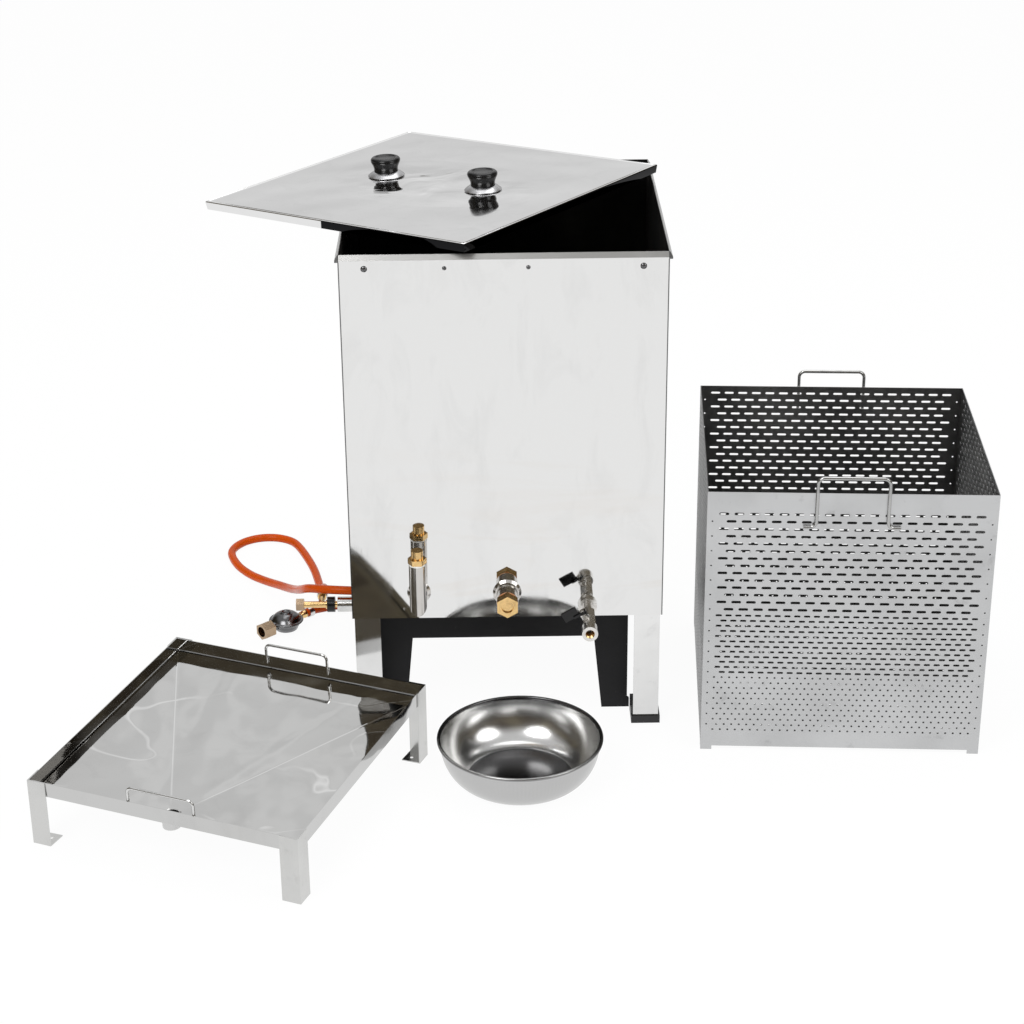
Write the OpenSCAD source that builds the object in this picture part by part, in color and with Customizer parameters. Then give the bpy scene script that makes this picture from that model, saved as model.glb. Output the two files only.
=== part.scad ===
/* [Tank] */
// Outside width of the tank, wall to wall
tank_w = 446; // [400:1:500]
// Outside depth of the tank, wall to wall
tank_d = 446; // [400:1:500]
// Height of the tank walls
tank_h = 547; // [450:1:620]
// Height of the tank's underside above the floor
tank_stand = 179; // [175:1:220]
// Thickness of the tank sheet
tank_sheet = 1.2; // [0.8:0.1:2]
// How far the folded rim stands out from the wall
lip_out = 4; // [2:0.5:8]
// How far the folded rim reaches down
lip_drop = 7; // [4:0.5:12]
// Depth of the rivet row under the rim
rivet_drop = 20; // [14:1:40]
// Distance of the outer rivets from the side walls
rivet_side = 35; // [20:1:60]
// Diameter of the outer rivet heads
rivet_head = 9; // [6:0.5:12]
// Diameter of the inner rivet heads
small_rivet_head = 6; // [5:0.5:10]
// Diameter of the rivet shanks
rivet_shank = 4; // [3:0.1:4.8]

/* [Tank legs] */
// Width of each flange of the leg angle
leg_flange = 37; // [25:1:50]
// Thickness of the leg angle
leg_sheet = 2; // [1.5:0.1:4]
// How far the legs stand in from the tank walls
leg_inset = 3; // [2:0.5:10]
// Width of the square foot
foot_w = 42; // [40:1:48]
// Height of the foot's outer rim
foot_h = 12; // [8:1:20]
// Thickness of the foot's sole under the angle
foot_sole = 4; // [2:0.5:7]
// Height of the plug that stands behind the angle
foot_plug = 26; // [20:1:40]

/* [Filler] */
// Place of the filler left of the tank's middle
filler_x = 126; // [80:1:160]
// Height of the filler's inlet above the tank's underside
filler_rise = 41; // [25:1:80]
// Outside diameter of the filler pipe
filler_od = 24; // [18:0.5:30]
// Wall of the filler pipe
filler_wall = 2; // [1:0.1:3]
// Distance of the upright pipe's axis from the tank's face
filler_reach = 41; // [30:1:60]
// Length of the upright pipe above the inlet's axis
filler_up = 64; // [40:1:120]
// Width across the flats of the filler plug
filler_flats = 23; // [20:0.5:32]
// Height of the filler plug's hexagon
filler_hex_h = 8; // [5:0.5:14]
// Diameter of the filler plug's cap
filler_cap_d = 17; // [12:0.5:22]
// Height of the filler plug's cap
filler_cap_h = 12; // [6:0.5:20]

/* [Outlet] */
// Height of the outlet above the tank's underside
outlet_rise = 39; // [28:1:80]
// Outside diameter of the outlet stub
outlet_od = 31; // [24:0.5:36]
// Inside diameter of the outlet stub
outlet_bore = 24; // [16:0.5:28]
// Length of the outlet stub in front of the wall
outlet_len = 30; // [20:1:50]
// Width across the flats of the outlet plug
outlet_flats = 29; // [26:0.5:38]
// Length of the outlet plug's hexagon
outlet_hex_h = 15; // [8:0.5:24]
// Depth of the recess in the outlet plug's face
outlet_recess = 3; // [1:0.5:6]

/* [Drain valve] */
// Place of the drain valve right of the tank's middle
drain_x = 115; // [80:1:170]
// Height of the drain valve above the tank's underside
drain_rise = 17; // [15:1:60]
// Outside diameter of the threaded nipple
nipple_od = 13.2; // [12:0.1:14]
// Inside diameter of the nipple
nipple_bore = 8; // [6:0.1:9]
// Diameter of the cover ring at the wall
ring_d = 27; // [22:0.5:40]
// Thickness of the cover ring
ring_t = 6; // [3:0.5:10]
// Width across the flats of the valve body
valve_flats = 17.5; // [17:0.1:22]
// Distance from the tank's face to the valve body
valve_start = 22; // [16:1:40]
// Length of the valve body
valve_len = 50; // [48:1:70]
// Diameter of the end piece's collar
end_d = 22.5; // [20:0.5:30]
// Length of the end piece's collar
end_len = 18; // [14:0.5:30]
// Diameter of the ball
ball_d = 12.5; // [11:0.1:12.8]
// Diameter of the bore through the ball
ball_bore = 7; // [5:0.1:8]
// Diameter of the valve stem
stem_d = 5; // [4:0.1:6]
// Lean of the stem to the left of upright
stem_lean = 30; // [0:1:60]
// Length of the lever from the stem to its tip
lever_len = 28; // [18:1:45]
// Width of the lever's paddle
lever_w = 15; // [10:0.5:20]
// Thickness of the lever
lever_t = 3.5; // [2:0.1:6]

/* [Lid] */
// Side of the square lid
lid_w = 469; // [455:1:500]
// Height of the lid with its flange
lid_h = 12.5; // [8:0.5:25]
// Thickness of the lid sheet
lid_sheet = 1.2; // [0.8:0.1:2]
// Place of the lid's middle left of the tank's middle
lid_left = 98; // [80:1:110]
// Place of the lid's middle behind the tank's front
lid_back = 300; // [285:1:315]
// Turn of the lid on the tank
lid_turn = -37; // [-40:0.5:-34]
// Distance between the two knobs
knob_pitch = 179; // [120:1:240]
// Diameter of a knob
knob_d = 44; // [30:0.5:60]
// Height of a knob above its base
knob_h = 21; // [18:0.5:36]
// Diameter of a knob's waist
knob_waist = 35.5; // [20:0.5:40]
// Diameter of a knob base
base_d = 54; // [40:0.5:70]
// Height of a knob base
base_h = 7; // [4:0.5:12]

/* [Basket] */
// Width of the basket
basket_w = 397; // [360:1:415]
// Depth of the basket
basket_d = 397; // [360:1:415]
// Height of the basket with its tabs
basket_h = 406; // [380:1:440]
// Thickness of the basket sheet
basket_sheet = 1.2; // [0.8:0.1:2]
// Height of the corner tabs
tab_h = 6; // [5:0.5:12]
// Width of the corner tabs
tab_w = 16; // [10:1:30]
// Width of a basket handle
basket_grip_w = 103; // [80:1:140]
// Height of a basket handle above the rim
basket_grip_up = 26; // [20:1:40]
// Length of a basket handle below the rim
basket_grip_down = 50; // [30:1:60]
// Length of a handle's flared foot
basket_grip_foot = 13; // [8:1:20]
// Diameter of the basket's handle wire
basket_wire = 5; // [3:0.1:6]

/* [Tray] */
// Width of the tray
tray_w = 403; // [360:1:430]
// Depth of the tray
tray_d = 403; // [360:1:430]
// Height of the tray's front rim
tray_front_h = 98; // [85:1:120]
// Height of the tray's back rim
tray_back_h = 115; // [100:1:140]
// Height of the tray's walls
tray_wall = 21.5; // [14:0.5:30]
// Thickness of the tray sheet
tray_sheet = 1.2; // [0.8:0.1:2]
// Fall of the creased floor to the drain
tray_fall = 6; // [2:0.5:9]
// Width of each flange of the tray's legs
tray_leg = 27; // [20:1:40]
// Thickness of the tray's legs
tray_leg_sheet = 1.5; // [1:0.1:3]
// Reach of a tray foot plate's free corner along each side
tray_tab = 28; // [20:1:40]
// Outside diameter of the spout
spout_od = 25; // [18:0.5:30]
// Length of the spout under the floor's low point
spout_len = 16; // [8:1:30]
// Distance of the spout's axis from the front wall
spout_in = 24; // [18:0.5:40]
// Width of a tray handle
tray_grip_w = 102; // [80:1:140]
// Height of a tray handle above the rim
tray_grip_up = 22; // [15:1:30]
// Diameter of the tray's handle wire
tray_wire = 4; // [3:0.1:5]

/* [Bowl] */
// Diameter of the bowl's rim
bowl_d = 234; // [200:1:260]
// Height of the bowl
bowl_h = 66; // [50:1:90]
// Diameter of the bowl's flat base
bowl_base = 134; // [90:1:160]
// Thickness of the bowl's sheet
bowl_sheet = 1; // [0.8:0.1:2]
// Diameter of the rolled rim
bowl_bead = 5; // [3:0.5:8]

/* [Gas stool] */
// Width of the stool
stool_w = 366; // [340:1:370]
// Depth of the stool
stool_d = 344; // [320:1:346]
// Height of the stool
stool_h = 168; // [160:1:172]
// Thickness of the stool sheet
stool_sheet = 2; // [1.5:0.1:3]
// Height of the stool's apron
apron_h = 48; // [40:1:50]
// Width of a stool leg at the apron
stool_leg_top = 50; // [40:1:60]
// Width of a stool leg at the floor
stool_leg_foot = 38; // [25:1:45]
// Height of the nub at the foot of a stool leg
nub_h = 17; // [10:1:30]
// Height of the mixing tube's axis
tube_z = 90; // [86:0.5:92]
// Outside diameter of the mixing tube
tube_od = 24; // [20:0.5:26]
// Wall of the mixing tube
tube_wall = 2; // [1:0.1:3]
// How far the mixing tube reaches past the stool
tube_out = 68; // [60:1:80]
// Diameter of the burner body
burner_d = 110; // [90:1:140]
// Height of the burner body
burner_h = 36; // [34:1:42]
// Height of the burner cap
cap_h = 14; // [8:0.5:18]
// Number of flame ports around the cap
ports = 24; // [12:1:36]
// Diameter of the air shutter
shutter_d = 24; // [22:0.5:33]
// Length of the air shutter
shutter_t = 12; // [4:0.5:14]
// Diameter of the gas inlet's barrel
barrel_d = 10; // [10:0.1:14]
// Length of the barrel outside the shutter
barrel_len = 36; // [32:1:40]
// Width across the flats of the inlet nut
inlet_flats = 18; // [16:0.5:21]
// Length of the inlet nut
inlet_nut_len = 12; // [8:0.5:16]

/* [Gas supply] */
// Outside diameter of the hose
hose_od = 13.5; // [10:0.1:14.5]
// Diameter of the regulator's flange
reg_d = 55; // [50:1:60]
// Height of the regulator
reg_h = 33; // [30:1:44]
// Width across the flats of the regulator nut
reg_flats = 24; // [23:0.5:25]
// Length of the regulator nut
reg_nut_len = 20; // [16:0.5:28]

/* [Hidden] */
$fn = 48;

// Clearances: running fit, seated thread, gap between pieces that only rest on each other
run_gap = 0.05;
thread_gap = 0.05;
rest_gap = 0.3;
weld_gap = 0.05;
over = 1;

rim_z = tank_stand + tank_h;
lip_rise = tank_sheet * norm([lip_out, lip_drop]) / lip_out;
inner_rivets = [-80, 33];
rivet_spots = concat(
    [[-(tank_w / 2 - rivet_side), rivet_head], [tank_w / 2 - rivet_side, rivet_head]],
    [for (x = inner_rivets) [x, small_rivet_head]]);

filler_z = tank_stand + filler_rise;
outlet_z = tank_stand + outlet_rise;
drain_z = tank_stand + drain_rise;
seal_t = 2.5;
collar_t = 3;
collar_wide = 10;

// The lid leans on the left rim, the back rim and the tank's back left corner
lid_under = lid_h - lid_sheet;
lid_along = (-tank_w / 2 + lid_left - sin(lid_turn) * lid_w / 2) / cos(lid_turn);
lean_left = [-tank_w / 2, lid_back + sin(lid_turn) * lid_along - cos(lid_turn) * lid_w / 2];
lid_across = (tank_d - lid_back - cos(lid_turn) * lid_w / 2) / sin(lid_turn);
lean_back = [-lid_left + cos(lid_turn) * lid_across - sin(lid_turn) * lid_w / 2, tank_d];
lean_axis = (lean_back - lean_left) / norm(lean_back - lean_left);
lean_reach = (tank_d - lean_left[1]) * lean_axis[0];
lid_lean = asin(lid_under / lean_reach);

// Places of the pieces that stand beside the tank
basket_at = [486, 109.5];
basket_turn = -3.6;
tray_at = [-381, -190];
tray_turn = -22.7;
bowl_at = [15, -145];
stool_at = [-6, 222];

// The whole set is centred on its footprint
footprints = [
    [0, tank_d / 2, tank_w + 2 * lip_out, tank_d + 2 * lip_out, 0],
    [basket_at[0], basket_at[1], basket_w, basket_d, basket_turn],
    [tray_at[0], tray_at[1], tray_w, tray_d, tray_turn],
    [bowl_at[0], bowl_at[1], bowl_d, bowl_d, 0]
];
function reach_x(f) = (f[2] * abs(cos(f[4])) + f[3] * abs(sin(f[4]))) / 2;
function reach_y(f) = (f[2] * abs(sin(f[4])) + f[3] * abs(cos(f[4]))) / 2;
lean_v = [lean_axis[0], lean_axis[1], 0];
function leaned(p) = p * cos(lid_lean) - cross(lean_v, p) * sin(lid_lean)
    + lean_v * (lean_v * p) * (1 - cos(lid_lean));
function lid_corner(x, y, z) = leaned([
    cos(lid_turn) * x - sin(lid_turn) * y - lid_left - lean_left[0],
    sin(lid_turn) * x + cos(lid_turn) * y + lid_back - lean_left[1],
    z]) + [lean_left[0], lean_left[1], 0];
lid_corners = [for (x = [-1, 1], y = [-1, 1], z = [0, lid_h]) lid_corner(x * lid_w / 2, y * lid_w / 2, z)];
left_ends = concat([for (f = footprints) f[0] - reach_x(f)], [for (c = lid_corners) c[0]]);
right_ends = concat([for (f = footprints) f[0] + reach_x(f)], [for (c = lid_corners) c[0]]);
front_ends = concat([for (f = footprints) f[1] - reach_y(f)], [for (c = lid_corners) c[1]]);
back_ends = concat([for (f = footprints) f[1] + reach_y(f)], [for (c = lid_corners) c[1]]);
set_x = (min(left_ends) + max(right_ends)) / 2;
set_y = (min(front_ends) + max(back_ends)) / 2;

module in_set() { translate([-set_x, -set_y, 0]) children(); }

module in_lid() {
    in_set()
        translate([lean_left[0], lean_left[1], rim_z + rest_gap])
        rotate(a = -lid_lean, v = [lean_axis[0], lean_axis[1], 0])
        translate([-lid_left - lean_left[0], lid_back - lean_left[1], 0])
        rotate([0, 0, lid_turn])
        children();
}

module in_basket() { in_set() translate([basket_at[0], basket_at[1], 0])
    rotate([0, 0, basket_turn]) children(); }

module in_tray() { in_set() translate([tray_at[0], tray_at[1], 0]) rotate([0, 0, tray_turn]) children(); }

module in_bowl() { in_set() translate([bowl_at[0], bowl_at[1], 0]) children(); }

module in_stool() { in_set() translate([stool_at[0], stool_at[1], 0]) children(); }

// Turns an upright solid so that it points out of the tank's front
module outward() { rotate([90, 0, 0]) children(); }

// Turns an upright solid so that it points to the left
module leftward() { rotate([0, -90, 0]) children(); }

module ring(outer_d, inner_d, h) {
    difference() {
        cylinder(d = outer_d, h = h);
        translate([0, 0, -over]) cylinder(d = inner_d, h = h + 2 * over);
    }
}

module hexagon(flats, h) { cylinder(d = flats / cos(30), h = h, $fn = 6); }

// Sheet angle with its corner at the origin
module angle(flange, sheet, h) {
    linear_extrude(h)
        polygon([[0, 0], [flange, 0], [flange, sheet], [sheet, sheet], [sheet, flange], [0, flange]]);
}

// Bent wire: a bar on two uprights, in the XZ plane, with its top at z = 0
module wire_bow(width, drop, wire, bend) {
    for (side = [-1, 1]) {
        translate([side * (width - wire) / 2, 0, -drop]) cylinder(d = wire, h = drop - bend - wire / 2);
        translate([side * ((width - wire) / 2 - bend), 0, -bend - wire / 2])
            rotate([90, 0, side > 0 ? 0 : 180])
            rotate_extrude(angle = 90)
            translate([bend, 0]) circle(d = wire);
    }
    translate([-(width - wire) / 2 + bend, 0, -wire / 2])
        rotate([0, 90, 0]) cylinder(d = wire, h = width - wire - 2 * bend);
}

// Tank walls: a flat sheet with its folded rim, outside face on the XZ plane, facing -Y
module tank_wall(sheet_len, edge_len) {
    translate([-sheet_len / 2, 0, 0]) cube([sheet_len, tank_sheet, tank_h]);
    intersection() {
        translate([-edge_len / 2 - lip_out, 0, tank_h])
            rotate([90, 0, 90])
            linear_extrude(edge_len + 2 * lip_out)
            polygon([[0, 0], [-lip_out, -lip_drop], [-lip_out, -lip_drop - lip_rise], [0, -lip_rise]]);
        linear_extrude(tank_h + over)
            polygon([[-edge_len / 2, 0], [edge_len / 2, 0],
                     [edge_len / 2 + lip_out, -lip_out], [-edge_len / 2 - lip_out, -lip_out]]);
    }
}

module wall_hole(x, z, d) {
    translate([x, tank_sheet + over, z]) outward() cylinder(d = d, h = tank_sheet + 2 * over);
}

module tank_front() {
    color("gainsboro") in_set() difference() {
        translate([0, 0, tank_stand]) tank_wall(tank_w, tank_w);
        wall_hole(-filler_x, filler_z, filler_od + 2 * weld_gap);
        wall_hole(0, outlet_z, outlet_od + 2 * weld_gap);
        wall_hole(drain_x, drain_z, nipple_od + 2 * thread_gap);
        for (spot = rivet_spots) wall_hole(spot[0], rim_z - rivet_drop, rivet_shank + 2 * weld_gap);
    }
}

module tank_back() {
    color("gainsboro") in_set()
        translate([0, tank_d, tank_stand]) rotate([0, 0, 180]) tank_wall(tank_w, tank_w);
}

module tank_side(side) {
    color("gainsboro") in_set()
        translate([side * tank_w / 2, tank_d / 2, tank_stand])
        rotate([0, 0, side * 90])
        tank_wall(tank_d - 2 * tank_sheet, tank_d);
}

module tank_left() { tank_side(-1); }

module tank_right() { tank_side(1); }

module tank_floor() {
    color("silver") in_set()
        translate([-tank_w / 2 + tank_sheet, tank_sheet, tank_stand])
        cube([tank_w - 2 * tank_sheet, tank_d - 2 * tank_sheet, tank_sheet]);
}

module rivet(head_d) {
    head_t = head_d / 4;
    outward() {
        translate([0, 0, weld_gap]) intersection() {
            cylinder(d = head_d, h = head_t);
            translate([0, 0, head_t - head_d * 0.625]) sphere(d = head_d * 1.25);
        }
        translate([0, 0, -tank_sheet - weld_gap])
            cylinder(d = rivet_shank, h = tank_sheet + 3 * weld_gap);
        translate([0, 0, -tank_sheet - weld_gap - rivet_shank / 2])
            cylinder(d = rivet_shank * 1.4, h = rivet_shank / 2);
    }
}

module rim_rivets() {
    color("gray") in_set()
        for (spot = rivet_spots) translate([spot[0], 0, rim_z - rivet_drop]) rivet(spot[1]);
}

module at_corner(right, back) {
    translate([(right ? 1 : -1) * (tank_w / 2 - leg_inset), back ? tank_d - leg_inset : leg_inset, 0])
        mirror([right, 0, 0])
        mirror([0, back, 0])
        children();
}

module tank_leg(right, back) {
    color("silver") in_set()
        at_corner(right, back)
        translate([0, 0, foot_sole]) angle(leg_flange, leg_sheet, tank_stand - foot_sole);
}

module leg_front_left() { tank_leg(0, 0); }

module leg_front_right() { tank_leg(1, 0); }

module leg_back_left() { tank_leg(0, 1); }

module leg_back_right() { tank_leg(1, 1); }

// A foot's rim goes round the angle and its plug stands inside it
module tank_foot() {
    rim = foot_w - leg_flange - leg_inset + 0.5;
    plug_from = leg_sheet + rest_gap;
    difference() {
        translate([-rim, -rim, 0]) cube([foot_w, foot_w, foot_h]);
        translate([-rest_gap, -rest_gap, foot_sole])
            angle(leg_flange + 2 * rest_gap, leg_sheet + 2 * rest_gap, foot_h);
    }
    translate([plug_from, plug_from, 0])
        cube([foot_w - rim - plug_from, foot_w - rim - plug_from, foot_plug]);
}

module leg_feet() {
    color("black") in_set()
        for (right = [0, 1], back = [0, 1]) at_corner(right, back) tank_foot();
}

// Filler: two pipe runs cut on a mitre
module mitre_half(up) {
    far = 2 * (filler_reach + filler_up);
    translate([0, -filler_reach, 0])
        rotate([45, 0, 0])
        translate([-far / 2, -far / 2, up ? 0 : -far])
        cube(far);
}

module mitred_pipe(d, past) {
    intersection() {
        translate([0, tank_sheet + past, 0]) outward()
            cylinder(d = d, h = filler_reach + tank_sheet + past + d);
        mitre_half(false);
    }
    intersection() {
        translate([0, -filler_reach, -d]) cylinder(d = d, h = filler_up + past + d);
        mitre_half(true);
    }
}

module filler_elbow() {
    color("silver") in_set() translate([-filler_x, 0, filler_z]) difference() {
        union() {
            mitred_pipe(filler_od, 0);
            translate([0, -weld_gap, 0])
                outward() cylinder(d1 = filler_od + collar_wide, d2 = filler_od + 2, h = collar_t);
        }
        mitred_pipe(filler_od - 2 * filler_wall, over);
    }
}

module at_filler_top() { in_set() translate([-filler_x, -filler_reach, filler_z + filler_up])
    children(); }

module filler_seal() {
    color("white") at_filler_top() ring(filler_od - 1, filler_od - 2 * filler_wall, seal_t);
}

module filler_plug() {
    thread_h = 14;
    color("goldenrod") at_filler_top() {
        translate([0, 0, -thread_h])
            cylinder(d = filler_od - 2 * filler_wall - 2 * thread_gap, h = thread_h + seal_t);
        translate([0, 0, seal_t]) hexagon(filler_flats, filler_hex_h);
        translate([0, 0, seal_t + filler_hex_h]) cylinder(d = filler_cap_d, h = filler_cap_h);
    }
}

// Outlet
module at_outlet() { in_set() translate([0, 0, outlet_z]) outward() children(); }

module outlet_stub() {
    color("silver") at_outlet() difference() {
        union() {
            translate([0, 0, -tank_sheet]) cylinder(d = outlet_od, h = outlet_len + tank_sheet);
            translate([0, 0, weld_gap])
                cylinder(d1 = outlet_od + collar_wide, d2 = outlet_od + 3, h = collar_t);
        }
        translate([0, 0, -tank_sheet - over])
            cylinder(d = outlet_bore, h = outlet_len + tank_sheet + 2 * over);
    }
}

module outlet_seal() {
    color("sienna") at_outlet() translate([0, 0, outlet_len]) ring(outlet_od - 1, outlet_bore, seal_t);
}

module outlet_plug() {
    thread_h = 16;
    color("goldenrod") at_outlet() {
        translate([0, 0, outlet_len - thread_h])
            cylinder(d = outlet_bore - 2 * thread_gap, h = thread_h + seal_t);
        translate([0, 0, outlet_len + seal_t]) difference() {
            rotate([0, 0, 30]) hexagon(outlet_flats, outlet_hex_h);
            translate([0, 0, outlet_hex_h - outlet_recess])
                cylinder(d = outlet_flats * 0.6, h = outlet_recess + over);
        }
    }
}

// Drain valve: lengths are counted outward from the tank's face
seat_t = 3.6;
ball_gap = run_gap;
valve_room = nipple_od + 0.2;
ball_from_start = 32;
ball_at = valve_start + ball_from_start;
seat_from = ball_at - ball_d / 2 - 2.75;
seat_to = ball_at + ball_d / 2 + 2.75;
valve_stop = valve_start + valve_len;
nipple_in = 10;
nipple_to = valve_start + 9;
boss_h = valve_flats / 2 + 4;
packing_h = 4;
lever_z = boss_h + packing_h;
tang_w = 2.4;
tang_deep = 1.8;

module at_drain() { in_set() translate([drain_x, 0, drain_z]) outward() children(); }

module at_stem() { in_set() translate([drain_x, -ball_at, drain_z]) rotate([0, -stem_lean, 0])
    children(); }

module drain_ring() {
    color("gainsboro") at_drain() ring(ring_d, nipple_od + 2 * thread_gap, ring_t);
}

module drain_nipple() {
    color("silver") at_drain() translate([0, 0, -nipple_in])
        ring(nipple_od, nipple_bore, nipple_in + nipple_to);
}

module drain_locknut() {
    color("silver") at_drain() translate([0, 0, -tank_sheet - 6]) difference() {
        hexagon(ring_d - 5, 6);
        translate([0, 0, -over]) cylinder(d = nipple_od + 2 * thread_gap, h = 6 + 2 * over);
    }
}

module valve_body() {
    color("gainsboro") {
        difference() {
            union() {
                at_drain() translate([0, 0, valve_start]) rotate([0, 0, stem_lean])
                    hexagon(valve_flats, valve_len);
                at_stem() cylinder(d = stem_d + 6, h = boss_h);
            }
            at_drain() {
                translate([0, 0, valve_start - over])
                    cylinder(d = nipple_od + 2 * thread_gap, h = 10 + over);
                translate([0, 0, valve_start]) cylinder(d = nipple_bore, h = valve_len);
                translate([0, 0, seat_from]) cylinder(d = valve_room, h = valve_stop - seat_from + over);
            }
            at_stem() cylinder(d = stem_d + 2 * run_gap, h = boss_h + over);
        }
    }
}

module valve_end() {
    color("gainsboro") at_drain() difference() {
        union() {
            translate([0, 0, seat_to])
                cylinder(d = valve_room - 2 * thread_gap, h = valve_stop - seat_to + over);
            translate([0, 0, valve_stop]) cylinder(d = end_d, h = end_len);
        }
        translate([0, 0, seat_to - over]) cylinder(d = nipple_bore, h = valve_len + end_len);
        translate([0, 0, valve_stop + 4]) cylinder(d = nipple_od, h = end_len);
    }
}

module valve_seats() {
    color("white") at_drain() for (place = [seat_from, seat_to - seat_t]) difference() {
        translate([0, 0, place]) ring(valve_room - 2 * thread_gap, ball_bore, seat_t);
        translate([0, 0, ball_at]) sphere(d = ball_d + 2 * ball_gap);
    }
}

module valve_ball() {
    color("gainsboro") difference() {
        at_stem() sphere(d = ball_d);
        at_stem() translate([-ball_d, 0, 0]) rotate([0, 90, 0]) cylinder(d = ball_bore, h = 2 * ball_d);
        at_stem() translate([-tang_w / 2, -ball_d, ball_d / 2 - tang_deep])
            cube([tang_w, 2 * ball_d, ball_d]);
    }
}

module valve_stem() {
    color("silver") at_stem() {
        translate([0, 0, ball_d / 2 + 0.2])
            cylinder(d = stem_d, h = lever_z + lever_t - ball_d / 2 - 0.2);
        intersection() {
            translate([0, 0, ball_d / 2 - tang_deep + run_gap])
                cylinder(d = stem_d - 0.4, h = tang_deep + 0.4);
            translate([-tang_w / 2 + run_gap, -stem_d, 0])
                cube([tang_w - 2 * run_gap, 2 * stem_d, ball_d]);
        }
    }
}

module packing_nut() {
    color("silver") at_stem() translate([0, 0, boss_h]) difference() {
        hexagon(stem_d + 5, packing_h);
        translate([0, 0, -over]) cylinder(d = stem_d + 2 * run_gap, h = packing_h + 2 * over);
    }
}

module drain_lever() {
    lift = run_gap;
    color("black") at_stem() translate([0, 0, lever_z + lift]) difference() {
        union() {
            cylinder(d = stem_d + 6, h = lever_t);
            translate([-lever_len, -lever_t / 2, 0]) cube([lever_len - stem_d, lever_t, lever_w]);
            translate([-lever_len / 2, -stem_d / 2 - 2, 0]) cube([lever_len / 2, stem_d + 4, lever_t]);
        }
        translate([0, 0, -over]) cylinder(d = stem_d + 2 * thread_gap, h = lever_t + 2 * over);
    }
}

module lever_screw() {
    color("silver") at_stem() translate([0, 0, lever_z + lever_t + run_gap]) difference() {
        cylinder(d = stem_d + 2, h = 2);
        translate([-stem_d, -0.5, 1]) cube([2 * stem_d, 1, 2]);
    }
}

// Lid and knobs, in the lid's own frame with its flange on z = 0
screw_d = 5;
screw_head_t = 3;
screw_bite = 12;

module at_knobs() { for (side = [-1, 1]) translate([side * knob_pitch / 2, 0, 0]) children(); }

module lid_panel() {
    color("gainsboro") in_lid() difference() {
        translate([-lid_w / 2, -lid_w / 2, 0]) cube([lid_w, lid_w, lid_h]);
        translate([-lid_w / 2 + lid_sheet, -lid_w / 2 + lid_sheet, -over])
            cube([lid_w - 2 * lid_sheet, lid_w - 2 * lid_sheet, lid_under + over]);
        at_knobs() cylinder(d = screw_d + 2 * thread_gap, h = lid_h + over);
    }
}

module knob_bases() {
    edge = 1.2;
    color("darkgray") in_lid() at_knobs() translate([0, 0, lid_h]) difference() {
        union() {
            cylinder(d = base_d, h = edge);
            translate([0, 0, edge]) cylinder(d1 = base_d, d2 = knob_waist + 2, h = base_h - edge);
        }
        translate([0, 0, -over]) cylinder(d = screw_d + 2 * thread_gap, h = base_h + 2 * over);
    }
}

module knob_outline() {
    round_r = knob_h / 4;
    shoulder = knob_h - round_r;
    difference() {
        union() {
            polygon([[0, 0], [knob_waist / 2, 0], [knob_waist / 2, knob_h / 4],
                     [knob_d / 2, shoulder], [0, shoulder]]);
            translate([knob_d / 2 - round_r, shoulder]) circle(r = round_r);
            square([knob_d / 2 - round_r, knob_h]);
        }
        translate([0, knob_h - 1]) square([knob_d / 2 - round_r, 1 + over]);
        translate([-over, -over]) square([screw_d / 2 + thread_gap + over, screw_bite + 1 + over]);
    }
}

module lid_knobs() {
    color("black") in_lid() at_knobs() translate([0, 0, lid_h + base_h]) rotate_extrude() knob_outline();
}

module knob_screws() {
    color("silver") in_lid() at_knobs() {
        translate([0, 0, lid_under - screw_head_t]) cylinder(d = screw_d * 2, h = screw_head_t);
        translate([0, 0, lid_under - screw_head_t])
            cylinder(d = screw_d, h = screw_head_t + lid_sheet + base_h + screw_bite);
    }
}

// Basket: each perforated zone is [rows, columns, slot length, slot height, row pitch]
slot_zones = [[7, 9, 26, 5, 22], [6, 13, 15, 4.5, 17], [6, 17, 6, 4.5, 15]];
plain_top = 34;
plain_side = 16;
function zone_top(i) = i == 0 ? basket_h - plain_top
    : zone_top(i - 1) - slot_zones[i - 1][0] * slot_zones[i - 1][4];

module slots(width) {
    for (i = [0 : len(slot_zones) - 1]) {
        zone = slot_zones[i];
        pitch = (width - 2 * plain_side) / zone[1];
        for (row = [0 : zone[0] - 1], col = [0 : zone[1] - 1 - row % 2])
            translate([-width / 2 + plain_side + pitch * (col + 0.5 + 0.5 * (row % 2)) - zone[2] / 2,
                       zone_top(i) - zone[4] * row - zone[3]])
                square([zone[2], zone[3]]);
    }
}

module perforated_wall(width) {
    rotate([90, 0, 0]) translate([0, 0, -basket_sheet]) linear_extrude(basket_sheet) difference() {
        translate([-width / 2, tab_h]) square([width, basket_h - tab_h]);
        slots(width);
    }
}

module basket_front() { color("darkgray") in_basket() translate([0, -basket_d / 2, 0])
    perforated_wall(basket_w); }

module basket_back() {
    color("darkgray") in_basket() translate([0, basket_d / 2, 0]) rotate([0, 0, 180])
        perforated_wall(basket_w);
}

module basket_side(side) {
    color("darkgray") in_basket()
        translate([side * basket_w / 2, 0, 0]) rotate([0, 0, side * 90])
        perforated_wall(basket_d - 2 * basket_sheet);
}

module basket_left() { basket_side(-1); }

module basket_right() { basket_side(1); }

module basket_floor() {
    floor_w = basket_w - 2 * basket_sheet;
    floor_d = basket_d - 2 * basket_sheet;
    holes = 9;
    hole = 10;
    color("darkgray") in_basket() translate([0, 0, tab_h]) linear_extrude(basket_sheet) difference() {
        square([floor_w, floor_d], center = true);
        for (i = [1 : holes], j = [1 : holes])
            translate([(i / (holes + 1) - 0.5) * floor_w, (j / (holes + 1) - 0.5) * floor_d])
                square(hole, center = true);
    }
}

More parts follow.
